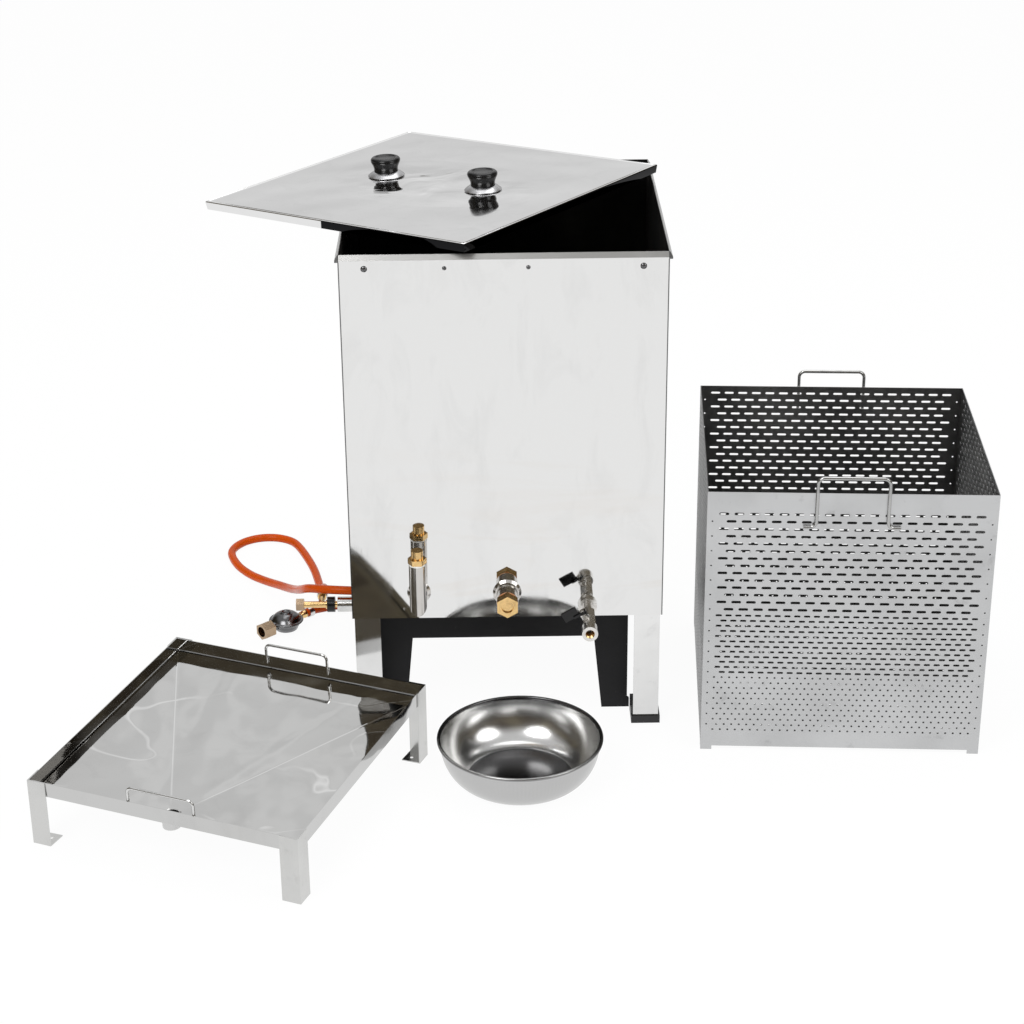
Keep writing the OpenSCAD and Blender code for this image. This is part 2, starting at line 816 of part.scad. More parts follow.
module basket_tabs() {
    color("darkgray") in_basket()
        for (right = [0, 1], back = [0, 1])
            mirror([right, 0, 0]) mirror([0, back, 0])
                translate([-basket_w / 2, -basket_d / 2, 0]) angle(tab_w, basket_sheet, tab_h);
}

// Handle wire with its two feet bent outward along the wall
module basket_grip() {
    bend = 9;
    drop = basket_grip_up + basket_grip_down;
    translate([0, 0, basket_h + basket_grip_up]) {
        wire_bow(basket_grip_w, drop - bend, basket_wire, bend);
        for (side = [-1, 1]) {
            translate([side * ((basket_grip_w - basket_wire) / 2 + bend), 0, -drop + bend])
                rotate([90, side > 0 ? 180 : 90, 0])
                rotate_extrude(angle = 90) translate([bend, 0]) circle(d = basket_wire);
            translate([side * ((basket_grip_w - basket_wire) / 2 + bend), 0, -drop])
                rotate([0, side * 90, 0]) cylinder(d = basket_wire, h = basket_grip_foot - bend / 2);
        }
    }
}

module basket_grip_front() {
    color("silver") in_basket()
        translate([0, -basket_d / 2 - basket_wire / 2 - weld_gap, 0]) basket_grip();
}

module basket_grip_back() {
    color("silver") in_basket()
        translate([0, basket_d / 2 + basket_wire / 2 + weld_gap, 0]) basket_grip();
}

// Tray: the pan slopes to the front between upright legs, with its rim plane on z = 0
tray_slope = asin((tray_back_h - tray_front_h) / tray_d);
pan_w = tray_w - 2 * tray_leg_sheet - 2 * weld_gap;
pan_lean = tray_wall * sin(tray_slope);
pan_d = (tray_d - 2 * tray_leg_sheet - 2 * weld_gap - pan_lean) / cos(tray_slope);
spout_at = -pan_d / 2 + tray_sheet + spout_in;
spout_top = -tray_wall + tray_sheet - tray_fall;
spout_wall = 1.5;

module in_pan() {
    in_tray() translate([0, -pan_lean / 2, (tray_front_h + tray_back_h) / 2]) rotate([tray_slope, 0, 0])
        children();
}

module tray_walls() {
    color("gainsboro") in_pan() difference() {
        translate([-pan_w / 2, -pan_d / 2, -tray_wall]) cube([pan_w, pan_d, tray_wall]);
        translate([-pan_w / 2 + tray_sheet, -pan_d / 2 + tray_sheet, -tray_wall - over])
            cube([pan_w - 2 * tray_sheet, pan_d - 2 * tray_sheet, tray_wall + 2 * over]);
    }
}

// Four flat triangles that fall from the walls to the drain
module tray_floor() {
    x = pan_w / 2 - tray_sheet;
    y = pan_d / 2 - tray_sheet;
    base = -tray_wall;
    top = [[-x, -y, base + tray_sheet], [x, -y, base + tray_sheet], [x, y, base + tray_sheet],
           [-x, y, base + tray_sheet], [0, spout_at, spout_top]];
    low = [for (p = top) p - [0, 0, tray_sheet]];
    top_faces = [for (i = [0 : 3]) [4, (i + 1) % 4, i]];
    low_faces = [for (i = [0 : 3]) [9, 5 + i, 5 + (i + 1) % 4]];
    edge_a = [for (i = [0 : 3]) [i, (i + 1) % 4, 5 + (i + 1) % 4]];
    edge_b = [for (i = [0 : 3]) [i, 5 + (i + 1) % 4, 5 + i]];
    color("gainsboro") in_pan() difference() {
        polyhedron(concat(top, low), concat(top_faces, low_faces, edge_a, edge_b));
        translate([0, spout_at, -tray_wall - tray_fall - over])
            cylinder(d = spout_od + 2 * weld_gap, h = tray_wall + tray_fall);
    }
}

module tray_spout() {
    color("silver") in_pan()
        translate([0, spout_at, spout_top - spout_len])
            ring(spout_od, spout_od - 2 * spout_wall, spout_len + 1);
}

module tray_leg_at_corner() {
    tab_t = tray_leg_sheet;
    hole = 5;
    angle(tray_leg, tray_leg_sheet, tray_back_h + tray_leg);
    difference() {
        linear_extrude(tab_t) polygon([[0, 0], [tray_leg, 0], [tray_tab, tray_tab], [0, tray_leg]]);
        translate([tray_tab * 0.62, tray_tab * 0.62, -over]) cylinder(d = hole, h = tab_t + 2 * over);
    }
}

module tray_legs() {
    color("silver") difference() {
        in_tray()
            for (right = [0, 1], back = [0, 1])
                mirror([right, 0, 0]) mirror([0, back, 0])
                    translate([-tray_w / 2, -tray_d / 2, 0]) tray_leg_at_corner();
        in_pan() translate([-tray_w, -tray_d, 0]) cube([2 * tray_w, 2 * tray_d, tray_back_h]);
    }
}

module tray_grip() { translate([0, 0, tray_grip_up])
    wire_bow(tray_grip_w, tray_grip_up + tray_wall / 2, tray_wire, 8); }

module tray_grip_front() {
    color("silver") in_pan()
        translate([0, -pan_d / 2 + tray_sheet + tray_wire / 2 + weld_gap, 0]) tray_grip();
}

module tray_grip_back() {
    color("silver") in_pan()
        translate([0, pan_d / 2 - tray_sheet - tray_wire / 2 - weld_gap, 0]) tray_grip();
}

// Bowl: a quarter wave from the flat base to the upright rim
bowl_steps = 14;
bowl_mouth = bowl_d / 2 - bowl_bead + bowl_sheet;
function bowl_line(out) = [for (i = [0 : bowl_steps]) let (a = 90 * i / bowl_steps)
    [bowl_base / 2 + (bowl_mouth - bowl_base / 2) * sin(a) - (out ? 0 : bowl_sheet * sin(a)),
     (bowl_h - bowl_bead / 2) * (1 - cos(a)) + (out ? 0 : bowl_sheet * cos(a))]];
function backward(list) = [for (i = [len(list) - 1 : -1 : 0]) list[i]];

module bowl() {
    color("silver") in_bowl() rotate_extrude($fn = 96) {
        polygon(concat([[0, 0]], bowl_line(true), backward(bowl_line(false)), [[0, bowl_sheet]]));
        translate([bowl_mouth + bowl_bead / 2 - bowl_sheet, bowl_h - bowl_bead / 2])
            circle(d = bowl_bead);
    }
}

// Gas stool, in its own frame with its middle on the Z axis
apron_z = stool_h - apron_h;
nub_out = 3;
fold_w = 20;

module stool_panel(width, nubs) {
    half = width / 2;
    rotate([90, 0, 0]) translate([0, 0, -stool_sheet]) linear_extrude(stool_sheet) {
        polygon([[-half, 0], [-half + stool_leg_foot, 0], [-half + stool_leg_top, apron_z],
                 [half - stool_leg_top, apron_z], [half - stool_leg_foot, 0], [half, 0],
                 [half, stool_h], [-half, stool_h]]);
        if (nubs) for (side = [-1, 1]) {
            translate([side * half - nub_out, 0]) square([2 * nub_out, nub_h - nub_out]);
            translate([side * half, nub_h - nub_out]) circle(r = nub_out);
        }
    }
}

module stool_frame() {
    color("dimgray") in_stool() {
        translate([0, -stool_d / 2, 0]) stool_panel(stool_w, true);
        translate([0, stool_d / 2, 0]) rotate([0, 0, 180]) stool_panel(stool_w, true);
        for (side = [-1, 1])
            translate([side * stool_w / 2, 0, 0]) rotate([0, 0, side * 90])
                stool_panel(stool_d - 2 * stool_sheet, false);
        translate([0, 0, stool_h - stool_sheet]) linear_extrude(stool_sheet) difference() {
            square([stool_w, stool_d], center = true);
            square([stool_w - 2 * fold_w, stool_d - 2 * fold_w], center = true);
        }
    }
}

// Upright bars from the stool's corners towards the burner
module pot_supports() {
    bar_h = 28;
    bar_t = 4;
    inner_r = burner_d / 2 + 6;
    outer_r = norm([stool_w, stool_d]) / 2 - fold_w;
    color("dimgray") in_stool()
        for (side = [-1, 1], end = [-1, 1])
            rotate([0, 0, atan2(end * stool_d, side * stool_w)])
                translate([inner_r, -bar_t / 2, stool_h - stool_sheet - bar_h])
                    cube([outer_r - inner_r, bar_t, bar_h]);
}

body_z = tube_z - tube_od / 2 - 8;
strap_t = 3;
strap_w = 24;
strap_y = 46;

// Two straps hang from the side aprons and carry the burner
module burner_straps() {
    inner_w = stool_w - 2 * stool_sheet;
    strap_z = body_z - strap_t;
    color("dimgray") in_stool()
        for (end = [-1, 1]) translate([0, end * strap_y - strap_w / 2, 0]) {
            translate([-inner_w / 2, 0, strap_z]) cube([inner_w, strap_w, strap_t]);
            for (x = [-inner_w / 2, inner_w / 2 - strap_t])
                translate([x, 0, strap_z]) cube([strap_t, strap_w, apron_z + apron_h / 2 - strap_z]);
        }
}

shell = 5;
socket_len = 18;
socket_d = tube_od + 10;
tube_from = burner_d / 2 - shell;
tube_end = stool_w / 2 + tube_out;

module burner_body() {
    color("dimgray") in_stool() difference() {
        union() {
            translate([0, 0, body_z]) cylinder(d = burner_d, h = burner_h);
            translate([0, 0, tube_z]) leftward() cylinder(d = socket_d, h = burner_d / 2 + socket_len);
        }
        translate([0, 0, body_z + shell]) cylinder(d = burner_d - 2 * shell, h = burner_h + socket_d);
        translate([0, 0, tube_z]) leftward() cylinder(d = tube_od + 2 * weld_gap, h = burner_d);
        translate([-burner_d, -burner_d, body_z + burner_h]) cube([2 * burner_d, 2 * burner_d, socket_d]);
        translate([-burner_d, -burner_d, body_z - socket_d]) cube([2 * burner_d, 2 * burner_d, socket_d]);
    }
}

module burner_cap() {
    port_d = 4;
    skirt = 6;
    color("dimgray") in_stool() translate([0, 0, body_z + burner_h]) difference() {
        union() {
            cylinder(d = burner_d, h = cap_h - 4);
            translate([0, 0, cap_h - 4]) cylinder(d1 = burner_d, d2 = burner_d - 16, h = 4);
        }
        translate([0, 0, -over]) cylinder(d = burner_d - 2 * skirt, h = cap_h - 6 + over);
        for (i = [0 : ports - 1])
            rotate([0, 0, 360 * i / ports]) translate([burner_d / 2 - skirt - over, 0, (cap_h - 5) / 2])
                rotate([0, 90, 0]) cylinder(d = port_d, h = skirt + 2 * over);
    }
}

module mixing_tube() {
    windows = 4;
    plate_t = 3;
    color("silver") in_stool() translate([0, 0, tube_z]) leftward() {
        translate([0, 0, tube_from]) ring(tube_od, tube_od - 2 * tube_wall, tube_end - tube_from);
        translate([0, 0, tube_end]) difference() {
            cylinder(d = max(shutter_d, tube_od), h = plate_t);
            translate([0, 0, -over]) cylinder(d = barrel_d + 2 * thread_gap, h = plate_t + 2 * over);
            for (i = [0 : windows - 1])
                rotate([0, 0, 45 + 360 * i / windows]) translate([(shutter_d + barrel_d) / 4, 0, -over])
                    cylinder(d = (shutter_d - barrel_d) / 4, h = plate_t + 2 * over);
        }
    }
}

// The gap between the tube's end plate and the shutter lets the air in
shutter_from = tube_end + 3 + 4;
barrel_to = shutter_from + shutter_t + barrel_len;

module air_shutter() {
    windows = 4;
    color("black") in_stool() translate([0, 0, tube_z]) leftward()
        translate([0, 0, shutter_from]) difference() {
        cylinder(d = shutter_d, h = shutter_t);
        translate([0, 0, -over]) cylinder(d = barrel_d + 2 * run_gap, h = shutter_t + 2 * over);
        for (i = [0 : windows - 1])
            rotate([0, 0, 360 * i / windows]) translate([(shutter_d + barrel_d) / 4, 0, -over])
                cylinder(d = (shutter_d - barrel_d) / 4, h = shutter_t + 2 * over);
    }
}

// Barrel with the gas jet at its inner end and the hose tail at the back
tail_x = 286;
tail_len = 28;
tail_neck = 9;

module gas_inlet() {
    collar = barrel_d + 4;
    color("goldenrod") in_set() translate([0, stool_at[1], tube_z]) {
        difference() {
            union() {
                translate([stool_at[0], 0, 0]) leftward() {
                    translate([0, 0, tube_end]) cylinder(d = barrel_d, h = barrel_to - tube_end);
                    translate([0, 0, tube_end - 12]) cylinder(d1 = 5, d2 = barrel_d - 3, h = 12);
                    translate([0, 0, shutter_from + shutter_t + 0.3]) cylinder(d = collar, h = 2);
                }
                translate([-tail_x, 0, 0]) rotate([-90, 0, 0]) {
                    cylinder(d = tail_neck, h = tail_len);
                    translate([0, 0, tail_len - 4]) cylinder(d = hose_od, h = 4);
                }
            }
            translate([stool_at[0], 0, 0]) leftward() translate([0, 0, tube_end - 14])
                cylinder(d = 2, h = barrel_to - tube_end - 4);
        }
    }
}

module inlet_nut() {
    color("silver") in_stool() translate([0, 0, tube_z]) leftward()
        translate([0, 0, barrel_to]) difference() {
        hexagon(inlet_flats, inlet_nut_len);
        translate([0, 0, 2]) cylinder(d = barrel_d, h = inlet_nut_len);
    }
}

// Hose: a loop on the floor, over the inlet, round under the back of the stool and out to the regulator
hose_route = [
    [-286, 250, 90], [-286, 268, 90], [-286.5, 296, 82], [-288.5, 326, 62.5], [-291.5, 357, 41.5],
    [-296, 391, 22], [-302, 428, 10.5], [-309, 466, 7.5], [-319, 511, 7.5], [-333, 556, 7.5],
    [-351.3, 602.9, 7.5], [-366.9, 626.1, 7.5], [-391.7, 639.3, 7.5], [-419.8, 639.3, 7.5],
    [-444.6, 626.1, 7.5], [-460.3, 602.9, 7.5], [-463.2, 574.9, 7.5], [-448, 532, 7.5], [-424, 496, 8],
    [-396, 460, 14], [-369, 419, 26], [-347, 376, 41], [-332, 334, 60], [-321, 293, 81], [-306, 256, 101],
    [-276, 230, 111.5], [-234, 224, 112], [-194, 237, 105], [-162, 262, 93], [-132, 291, 75],
    [-104, 326, 54], [-75, 359, 34], [-38, 382, 18], [8, 392, 9], [58, 393, 7.5], [85.5, 385.6, 7.5],
    [105.6, 365.5, 7.5], [113, 338, 7.5], [105.6, 310.5, 7.5], [85.5, 290.4, 7.5], [58, 283, 7.5],
    [16, 283, 7.5], [-27, 286, 7.5], [-70, 289, 7.5], [-112, 294, 7.5], [-151, 308, 7.5],
    [-186, 332, 7.5], [-222.7, 368.4, 7.5], [-246.8, 379.3, 7.5], [-273.3, 377.9, 8.5],
    [-296.1, 364.5, 11], [-310, 351.1, 14.5], [-321.5, 340, 14.5]
];
hose_sides = 10;
function unit(v) = v / norm(v);
function heading(p, i) = i == 0 ? [0, 1, 0]
    : i == len(p) - 1 ? unit([reg_axis[0], reg_axis[1], 0])
    : unit(unit(p[i + 1] - p[i]) + unit(p[i] - p[i - 1]));
function hose_ring(p, i) = let (t = heading(p, i), side = unit(cross(t, [0, 0, 1])), up = cross(side, t))
    [for (k = [0 : hose_sides - 1]) let (a = 360 * k / hose_sides)
        p[i] + hose_od / 2 * (cos(a) * side + sin(a) * up)];

module gas_hose() {
    rings = len(hose_route);
    points = [for (i = [0 : rings - 1]) each hose_ring(hose_route, i)];
    walls = [for (i = [0 : rings - 2], k = [0 : hose_sides - 1]) let (
                a = i * hose_sides + k, b = i * hose_sides + (k + 1) % hose_sides)
                each [[a, a + hose_sides, b], [b, a + hose_sides, b + hose_sides]]];
    first = [for (k = [0 : hose_sides - 1]) k];
    last = [for (k = [hose_sides - 1 : -1 : 0]) (rings - 1) * hose_sides + k];
    color("orangered") in_set() polyhedron(points, concat(walls, [first, last]));
}

// Regulator on the floor, with its outlet along its own +X
reg_turn = 44;
reg_axis = [-cos(reg_turn), -sin(reg_turn)];
reg_z = 14.5;
reg_reach = 40;
reg_at = [hose_route[len(hose_route) - 1][0] + reg_reach * reg_axis[0],
          hose_route[len(hose_route) - 1][1] + reg_reach * reg_axis[1]];

module in_regulator() { in_set() translate([reg_at[0], reg_at[1], 0]) rotate([0, 0, reg_turn])
    children(); }

clip_len = 9;
clip_t = 1.5;

module hose_clip() { ring(hose_od + 2 * rest_gap + 2 * clip_t, hose_od + 2 * rest_gap, clip_len); }

module hose_clips() {
    clip_in = 4;
    color("silver") {
        in_set() translate(hose_route[0]) rotate([-90, 0, 0]) translate([0, 0, clip_in]) hose_clip();
        in_regulator() translate([reg_reach + clip_in, 0, reg_z]) rotate([0, 90, 0]) hose_clip();
    }
}

module regulator_body() {
    flange_z = reg_h / 2;
    flange_t = 4;
    dome_r = reg_d / 2 - 4;
    spigot = 14;
    color("dimgray") in_regulator() {
        translate([0, 0, 2]) cylinder(d1 = reg_d * 0.6, d2 = reg_d * 0.85, h = flange_z - 2);
        translate([0, 0, flange_z]) cylinder(d = reg_d, h = flange_t);
        translate([0, 0, flange_z + flange_t])
            cylinder(r1 = dome_r, r2 = dome_r * 0.55, h = reg_h - flange_z - flange_t);
        translate([0, 0, reg_z]) rotate([0, 90, 0]) {
            cylinder(d = tail_neck, h = reg_reach);
            translate([0, 0, reg_reach - 4]) cylinder(d = hose_od, h = 4);
        }
        translate([0, 0, reg_z]) rotate([0, -90, 0]) cylinder(d = spigot, h = reg_d / 2 + 6.5);
    }
}

module regulator_nut() {
    spigot = 14;
    wall_t = 4;
    bore = reg_flats - 7;
    color("silver") in_regulator() translate([-reg_d / 2 - 3, 0, reg_z]) rotate([0, -90, 0])
        difference() {
        hexagon(reg_flats, reg_nut_len);
        translate([0, 0, -over]) cylinder(d = spigot + 2 * run_gap, h = reg_nut_len);
        translate([0, 0, wall_t]) cylinder(d = bore, h = reg_nut_len);
    }
}

tank_front();
tank_back();
tank_left();
tank_right();
tank_floor();
rim_rivets();
leg_front_left();
leg_front_right();
leg_back_left();
leg_back_right();
leg_feet();
filler_elbow();
filler_seal();
filler_plug();
outlet_stub();
outlet_seal();
outlet_plug();
drain_ring();
drain_nipple();
drain_locknut();
valve_body();
valve_end();
valve_seats();
valve_ball();
valve_stem();
packing_nut();
drain_lever();
lever_screw();
lid_panel();
knob_bases();
lid_knobs();
knob_screws();
basket_front();
basket_back();
basket_left();
basket_right();
basket_floor();
basket_tabs();
basket_grip_front();
basket_grip_back();
tray_walls();
tray_floor();
tray_legs();
tray_spout();
tray_grip_front();
tray_grip_back();
bowl();
stool_frame();
pot_supports();
burner_straps();
burner_body();
burner_cap();
mixing_tube();
air_shutter();
gas_inlet();
inlet_nut();
gas_hose();
hose_clips();
regulator_body();
regulator_nut();
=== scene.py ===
import math

import bmesh
import bpy
from mathutils import Matrix, Vector, noise
from mathutils.geometry import delaunay_2d_cdt


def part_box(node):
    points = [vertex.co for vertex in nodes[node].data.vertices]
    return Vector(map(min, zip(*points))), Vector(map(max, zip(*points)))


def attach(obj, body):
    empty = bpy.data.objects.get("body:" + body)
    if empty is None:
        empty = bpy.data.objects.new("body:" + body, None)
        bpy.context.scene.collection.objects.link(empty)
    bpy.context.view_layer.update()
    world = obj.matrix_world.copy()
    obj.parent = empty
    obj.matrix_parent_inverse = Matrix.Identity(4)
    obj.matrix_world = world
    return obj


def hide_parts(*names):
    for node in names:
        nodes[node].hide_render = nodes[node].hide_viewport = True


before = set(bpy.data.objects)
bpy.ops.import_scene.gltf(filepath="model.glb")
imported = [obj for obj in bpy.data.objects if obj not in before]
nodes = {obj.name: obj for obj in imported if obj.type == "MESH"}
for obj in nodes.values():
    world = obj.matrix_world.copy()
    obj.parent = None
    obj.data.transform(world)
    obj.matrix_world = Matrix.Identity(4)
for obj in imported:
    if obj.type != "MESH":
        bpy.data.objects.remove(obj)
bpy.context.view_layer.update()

setPlace = Vector((0.025960, 0.087463, 0.0))     # the frame's origin, in the coordinates of the part's source


# camera, solved from the edges of the tank, basket, tray and lid
view = {"eye": (-0.0187, -2.9077, 1.6812), "pitch": 24.684, "yaw": 0.525, "roll": -0.530, "lens": 79.88}


def aimCamera():
    pitch, yaw, roll = (math.radians(view[k]) for k in ("pitch", "yaw", "roll"))
    ahead = Vector((math.sin(yaw) * math.cos(pitch), math.cos(yaw) * math.cos(pitch), -math.sin(pitch)))
    side = Vector((math.cos(yaw), -math.sin(yaw), 0.0))
    above = side.cross(ahead)
    right = math.cos(roll) * side + math.sin(roll) * above
    up = -math.sin(roll) * side + math.cos(roll) * above
    data = bpy.data.cameras.new("camera")
    data.lens = view["lens"]
    data.sensor_width = 36.0
    data.sensor_fit = "HORIZONTAL"
    data.clip_end = 60.0
    camera = bpy.data.objects.new("camera", data)
    turn = Matrix((right, up, -ahead)).transposed().to_4x4()
    camera.matrix_world = Matrix.Translation(Vector(view["eye"]) - setPlace) @ turn
    bpy.context.scene.collection.objects.link(camera)
    bpy.context.scene.camera = camera


aimCamera()
print("camera set")


# small tools for meshes
def turned(degrees, axis="Z"):
    return Matrix.Rotation(math.radians(degrees), 4, axis)


def moved(x, y, z):
    return Matrix.Translation((x, y, z))


def addObject(name, data):
    thing = bpy.data.objects.new(name, data)
    bpy.context.scene.collection.objects.link(thing)
    return thing


def addMesh(name, points, faces, smooth, place=None):
    mesh = bpy.data.meshes.new(name)
    mesh.from_pydata([tuple(p) for p in points], [], faces)
    if place is not None:
        mesh.transform(place)
    mesh.validate()
    for face in mesh.polygons:
        face.use_smooth = smooth
    mesh.update()
    return addObject(name, mesh)


def lathe(name, profile, steps, place, closed=False):
    shape = list(profile)
    if closed:
        shape.append(shape[0])
    rows = len(shape)
    points, faces = [], []
    for k in range(steps):
        a = 2 * math.pi * k / steps
        points += [(r * math.cos(a), r * math.sin(a), z) for r, z in shape]
    for k in range(steps):
        m = (k + 1) % steps
        for i in range(rows - 1):
            faces.append((k * rows + i, m * rows + i, m * rows + i + 1, k * rows + i + 1))
    thing = addMesh(name, points, faces, True, place)
    tidyMesh(thing)
    return thing


def tidyMesh(thing, near=0.00002):
    work = bmesh.new()
    work.from_mesh(thing.data)
    bmesh.ops.remove_doubles(work, verts=work.verts, dist=near)
    bmesh.ops.dissolve_degenerate(work, dist=near / 4, edges=work.edges)
    bmesh.ops.recalc_face_normals(work, faces=work.faces)
    work.to_mesh(thing.data)
    work.free()


def creaseShade(thing, angle):
    work = bmesh.new()
    work.from_mesh(thing.data)
    for edge in work.edges:
        edge.smooth = len(edge.link_faces) == 2 and edge.calc_face_angle(0.0) < math.radians(angle)
    work.to_mesh(thing.data)
    work.free()


def roundCorner(centre, radius, fromDeg, toDeg, count):
    out = []
    for k in range(count + 1):
        a = math.radians(fromDeg + (toDeg - fromDeg) * k / count)
        out.append((centre[0] + radius * math.cos(a), centre[1] + radius * math.sin(a)))
    return out


def sheetGrid(halfX, halfY, cells, height):
    points = []
    for j in range(cells + 1):
        for i in range(cells + 1):
            x = -halfX + 2 * halfX * i / cells
            y = -halfY + 2 * halfY * j / cells
            points.append((x, y, height(x, y)))
    corners = [j * (cells + 1) + i for j in range(cells) for i in range(cells)]
    return points, [(a, a + 1, a + cells + 2, a + cells + 1) for a in corners]


def bridge(first, second):                       # a band of faces between two rings of points
    nextOf = [(k + 1) % len(first) for k in range(len(first))]
    return [(first[m], first[k], second[k], second[m]) for k, m in enumerate(nextOf)]


def thicken(thing, sheet):
    thick = thing.modifiers.new("sheet", "SOLIDIFY")
    thick.thickness = sheet
    thick.offset = -1.0


def held(value):
    return max(0.0, min(1.0, value))


def finishPiece(thing, body, slot, finish, *replaced):
    thing.data.materials.append(finish)
    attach(thing, body)
    if replaced:
        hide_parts(*replaced)


# shader wires: Python operators on a wire add Math nodes
class Wire:
    def __init__(self, finish, socket):
        self.finish = finish
        self.socket = socket

    def math(self, operation, other, swapped=False):
        pair = (other, self) if swapped else (self, other)
        return self.finish.add("ShaderNodeMath", {"operation": operation}, {0: pair[0], 1: pair[1]})

    def __add__(self, other):
        return self.math("ADD", other)

    def __radd__(self, other):
        return self.math("ADD", other, True)

    def __sub__(self, other):
        return self.math("SUBTRACT", other)

    def __rsub__(self, other):
        return self.math("SUBTRACT", other, True)

    def __mul__(self, other):
        return self.math("MULTIPLY", other)

    def __rmul__(self, other):
        return self.math("MULTIPLY", other, True)

    def __truediv__(self, other):
        return self.math("DIVIDE", other)

    def __rtruediv__(self, other):
        return self.math("DIVIDE", other, True)

    def __pow__(self, other):
        return self.math("POWER", other)

    def __lt__(self, other):
        return self.math("LESS_THAN", other)

    def __gt__(self, other):
        return self.math("GREATER_THAN", other)

    def __abs__(self):
        return self.math("ABSOLUTE", 0.0)

    def above(self, low, high):                  # 0 below low, 1 over high
        span = {"Value": self, "From Min": low, "From Max": high, "To Min": 0.0, "To Max": 1.0}
        return self.finish.add("ShaderNodeMapRange", {"clamp": True}, span)

    def streak(self, at, core, edge):            # 1 within core of the place, 0 past edge
        return 1.0 - abs(self - at).above(core, edge)


class Finish:
    def __init__(self, name, kind="materials", coords="Object"):
        self.material = getattr(bpy.data, kind).new(name)
        self.material.use_nodes = True
        self.tree = self.material.node_tree
        self.tree.nodes.clear()
        self.coords = self.add("ShaderNodeTexCoord", {}, {}, coords)

    def add(self, kind, settings, inputs, out=0):
        node = self.tree.nodes.new(kind)
        for key, value in settings.items():
            setattr(node, key, value)
        for key, value in inputs.items():
            if isinstance(value, Wire):
                self.tree.links.new(value.socket, node.inputs[key])
            else:
                node.inputs[key].default_value = value
        return Wire(self, node.outputs[out]) if len(node.outputs) else None

    def axis(self, name):
        return self.add("ShaderNodeSeparateXYZ", {}, {0: self.coords}, name)

    def stretched(self, scale, turn=(0.0, 0.0, 0.0)):
        return self.add("ShaderNodeMapping", {}, {"Vector": self.coords, "Scale": scale, "Rotation": turn})

    def noise(self, scale, detail=3.0, rough=0.5, coords=None, warp=0.0):
        sockets = {"Vector": coords or self.coords, "Scale": scale, "Detail": detail}
        return self.add("ShaderNodeTexNoise", {}, {**sockets, "Roughness": rough, "Distortion": warp})

    def cells(self, scale):
        sockets = {"Vector": self.coords, "Scale": scale}
        return self.add("ShaderNodeTexVoronoi", {"feature": "F1"}, sockets, "Distance")

    def blend(self, factor, first, second):
        pair = [c if isinstance(c, Wire) else (*c, 1.0) for c in (first, second)]
        return self.add("ShaderNodeMix", {"data_type": "RGBA"}, {0: factor, 6: pair[0], 7: pair[1]}, 2)

    def bump(self, height, strength, distance, normal=None):
        sockets = {"Strength": strength, "Distance": distance, "Height": height}
        if normal:
            sockets["Normal"] = normal
        return self.add("ShaderNodeBump", {}, sockets)

    def surface(self, **inputs):
        wires = {k.replace("_", " "): (*v, 1.0) if isinstance(v, tuple) else v for k, v in inputs.items()}
        shader = self.add("ShaderNodeBsdfPrincipled", {}, wires)
        self.add("ShaderNodeOutputMaterial", {}, {"Surface": shader})
        return self.material


def shaded(tone, share):
    return tuple(c * share for c in tone)


def grey(level):
    return (level,) * 3


def fromMiddle(f, piece):
    return f.axis("X") - piece["at"].x, f.axis("Y") - piece["at"].y


def turnedAxes(f, piece):
    turn = math.radians(piece["turn"])
    x, y = fromMiddle(f, piece)
    return x * math.cos(turn) + y * math.sin(turn), y * math.cos(turn) - x * math.sin(turn)


# finishes; marks is a function of one piece's own marks and its painted shade and highlights on the polished
# sheet
def mirrorSheet(name, tone, scuffs, wave, waveScale=5.0, grime=0.0, hairDepth=0.0, marks=None):
    f = Finish(name)
    cloud = f.noise(4.5, 4.0, 0.55)
    smear = f.noise(22.0, 5.0, 0.6, f.stretched((1.0, 1.0, 0.35)), 0.6)
    hair = f.noise(60.0, 2.0, 0.5, f.stretched((30.0, 30.0, 0.6), (0.0, 0.0, 0.3)))
    hairMask = hair.above(0.66, 0.72) * f.noise(7.0, 2.0).above(0.50, 0.62) * scuffs
    specks = (1.0 - f.cells(90.0).above(0.03, 0.07)) * f.noise(11.0, 3.0).above(0.57, 0.64) * scuffs
    dull = smear.above(0.50, 0.78)
    colour = f.blend(dull * 0.35 + specks * 0.55, tone, shaded(tone, 0.80))
    if grime:
        stain = f.noise(3.0, 5.0, 0.65).above(0.45, 0.75)
        colour = f.blend(stain * grime, colour, (0.30, 0.27, 0.22))
    rough = 0.035 + 0.07 * dull + 0.20 * hairMask + 0.25 * specks + 0.02 * cloud
    normal = f.bump(f.noise(waveScale, 1.5, 0.4), wave, 0.02)
    if marks:
        colour, rough, normal = marks(f, colour, rough, normal)
    if hairDepth:
        normal = f.bump(hair * hairMask, hairDepth, 0.0004, normal)
    return f.surface(Base_Color=colour, Metallic=1.0, Roughness=rough, Normal=normal)


def brushedSheet(name, tone, grain, roughness, spots, inside=None):
    f = Finish(name)
    lines = f.noise(6.0, 3.0, 0.6, f.stretched(grain))
    cloud = f.noise(7.0, 4.0, 0.6)
    marks = f.noise(55.0, 4.0, 0.65).above(0.60, 0.72)
    colour = f.blend(cloud.above(0.40, 0.72) * 0.5 + marks * spots, tone, shaded(tone, 0.72))
    rough = roughness + 0.14 * lines + 0.10 * cloud - 0.08
    if inside:
        # painted shade on the inner faces, mottled by a noise
        shadeMottle = f.noise(9.0, 5.0, 0.65).above(0.35, 0.75)
        colour = f.blend(inside(f), colour, f.blend(shadeMottle, (0.11, 0.11, 0.111), (0.26, 0.257, 0.250)))
    return f.surface(Base_Color=colour, Metallic=1.0, Roughness=rough, Normal=f.bump(lines, 0.10, 0.0004))


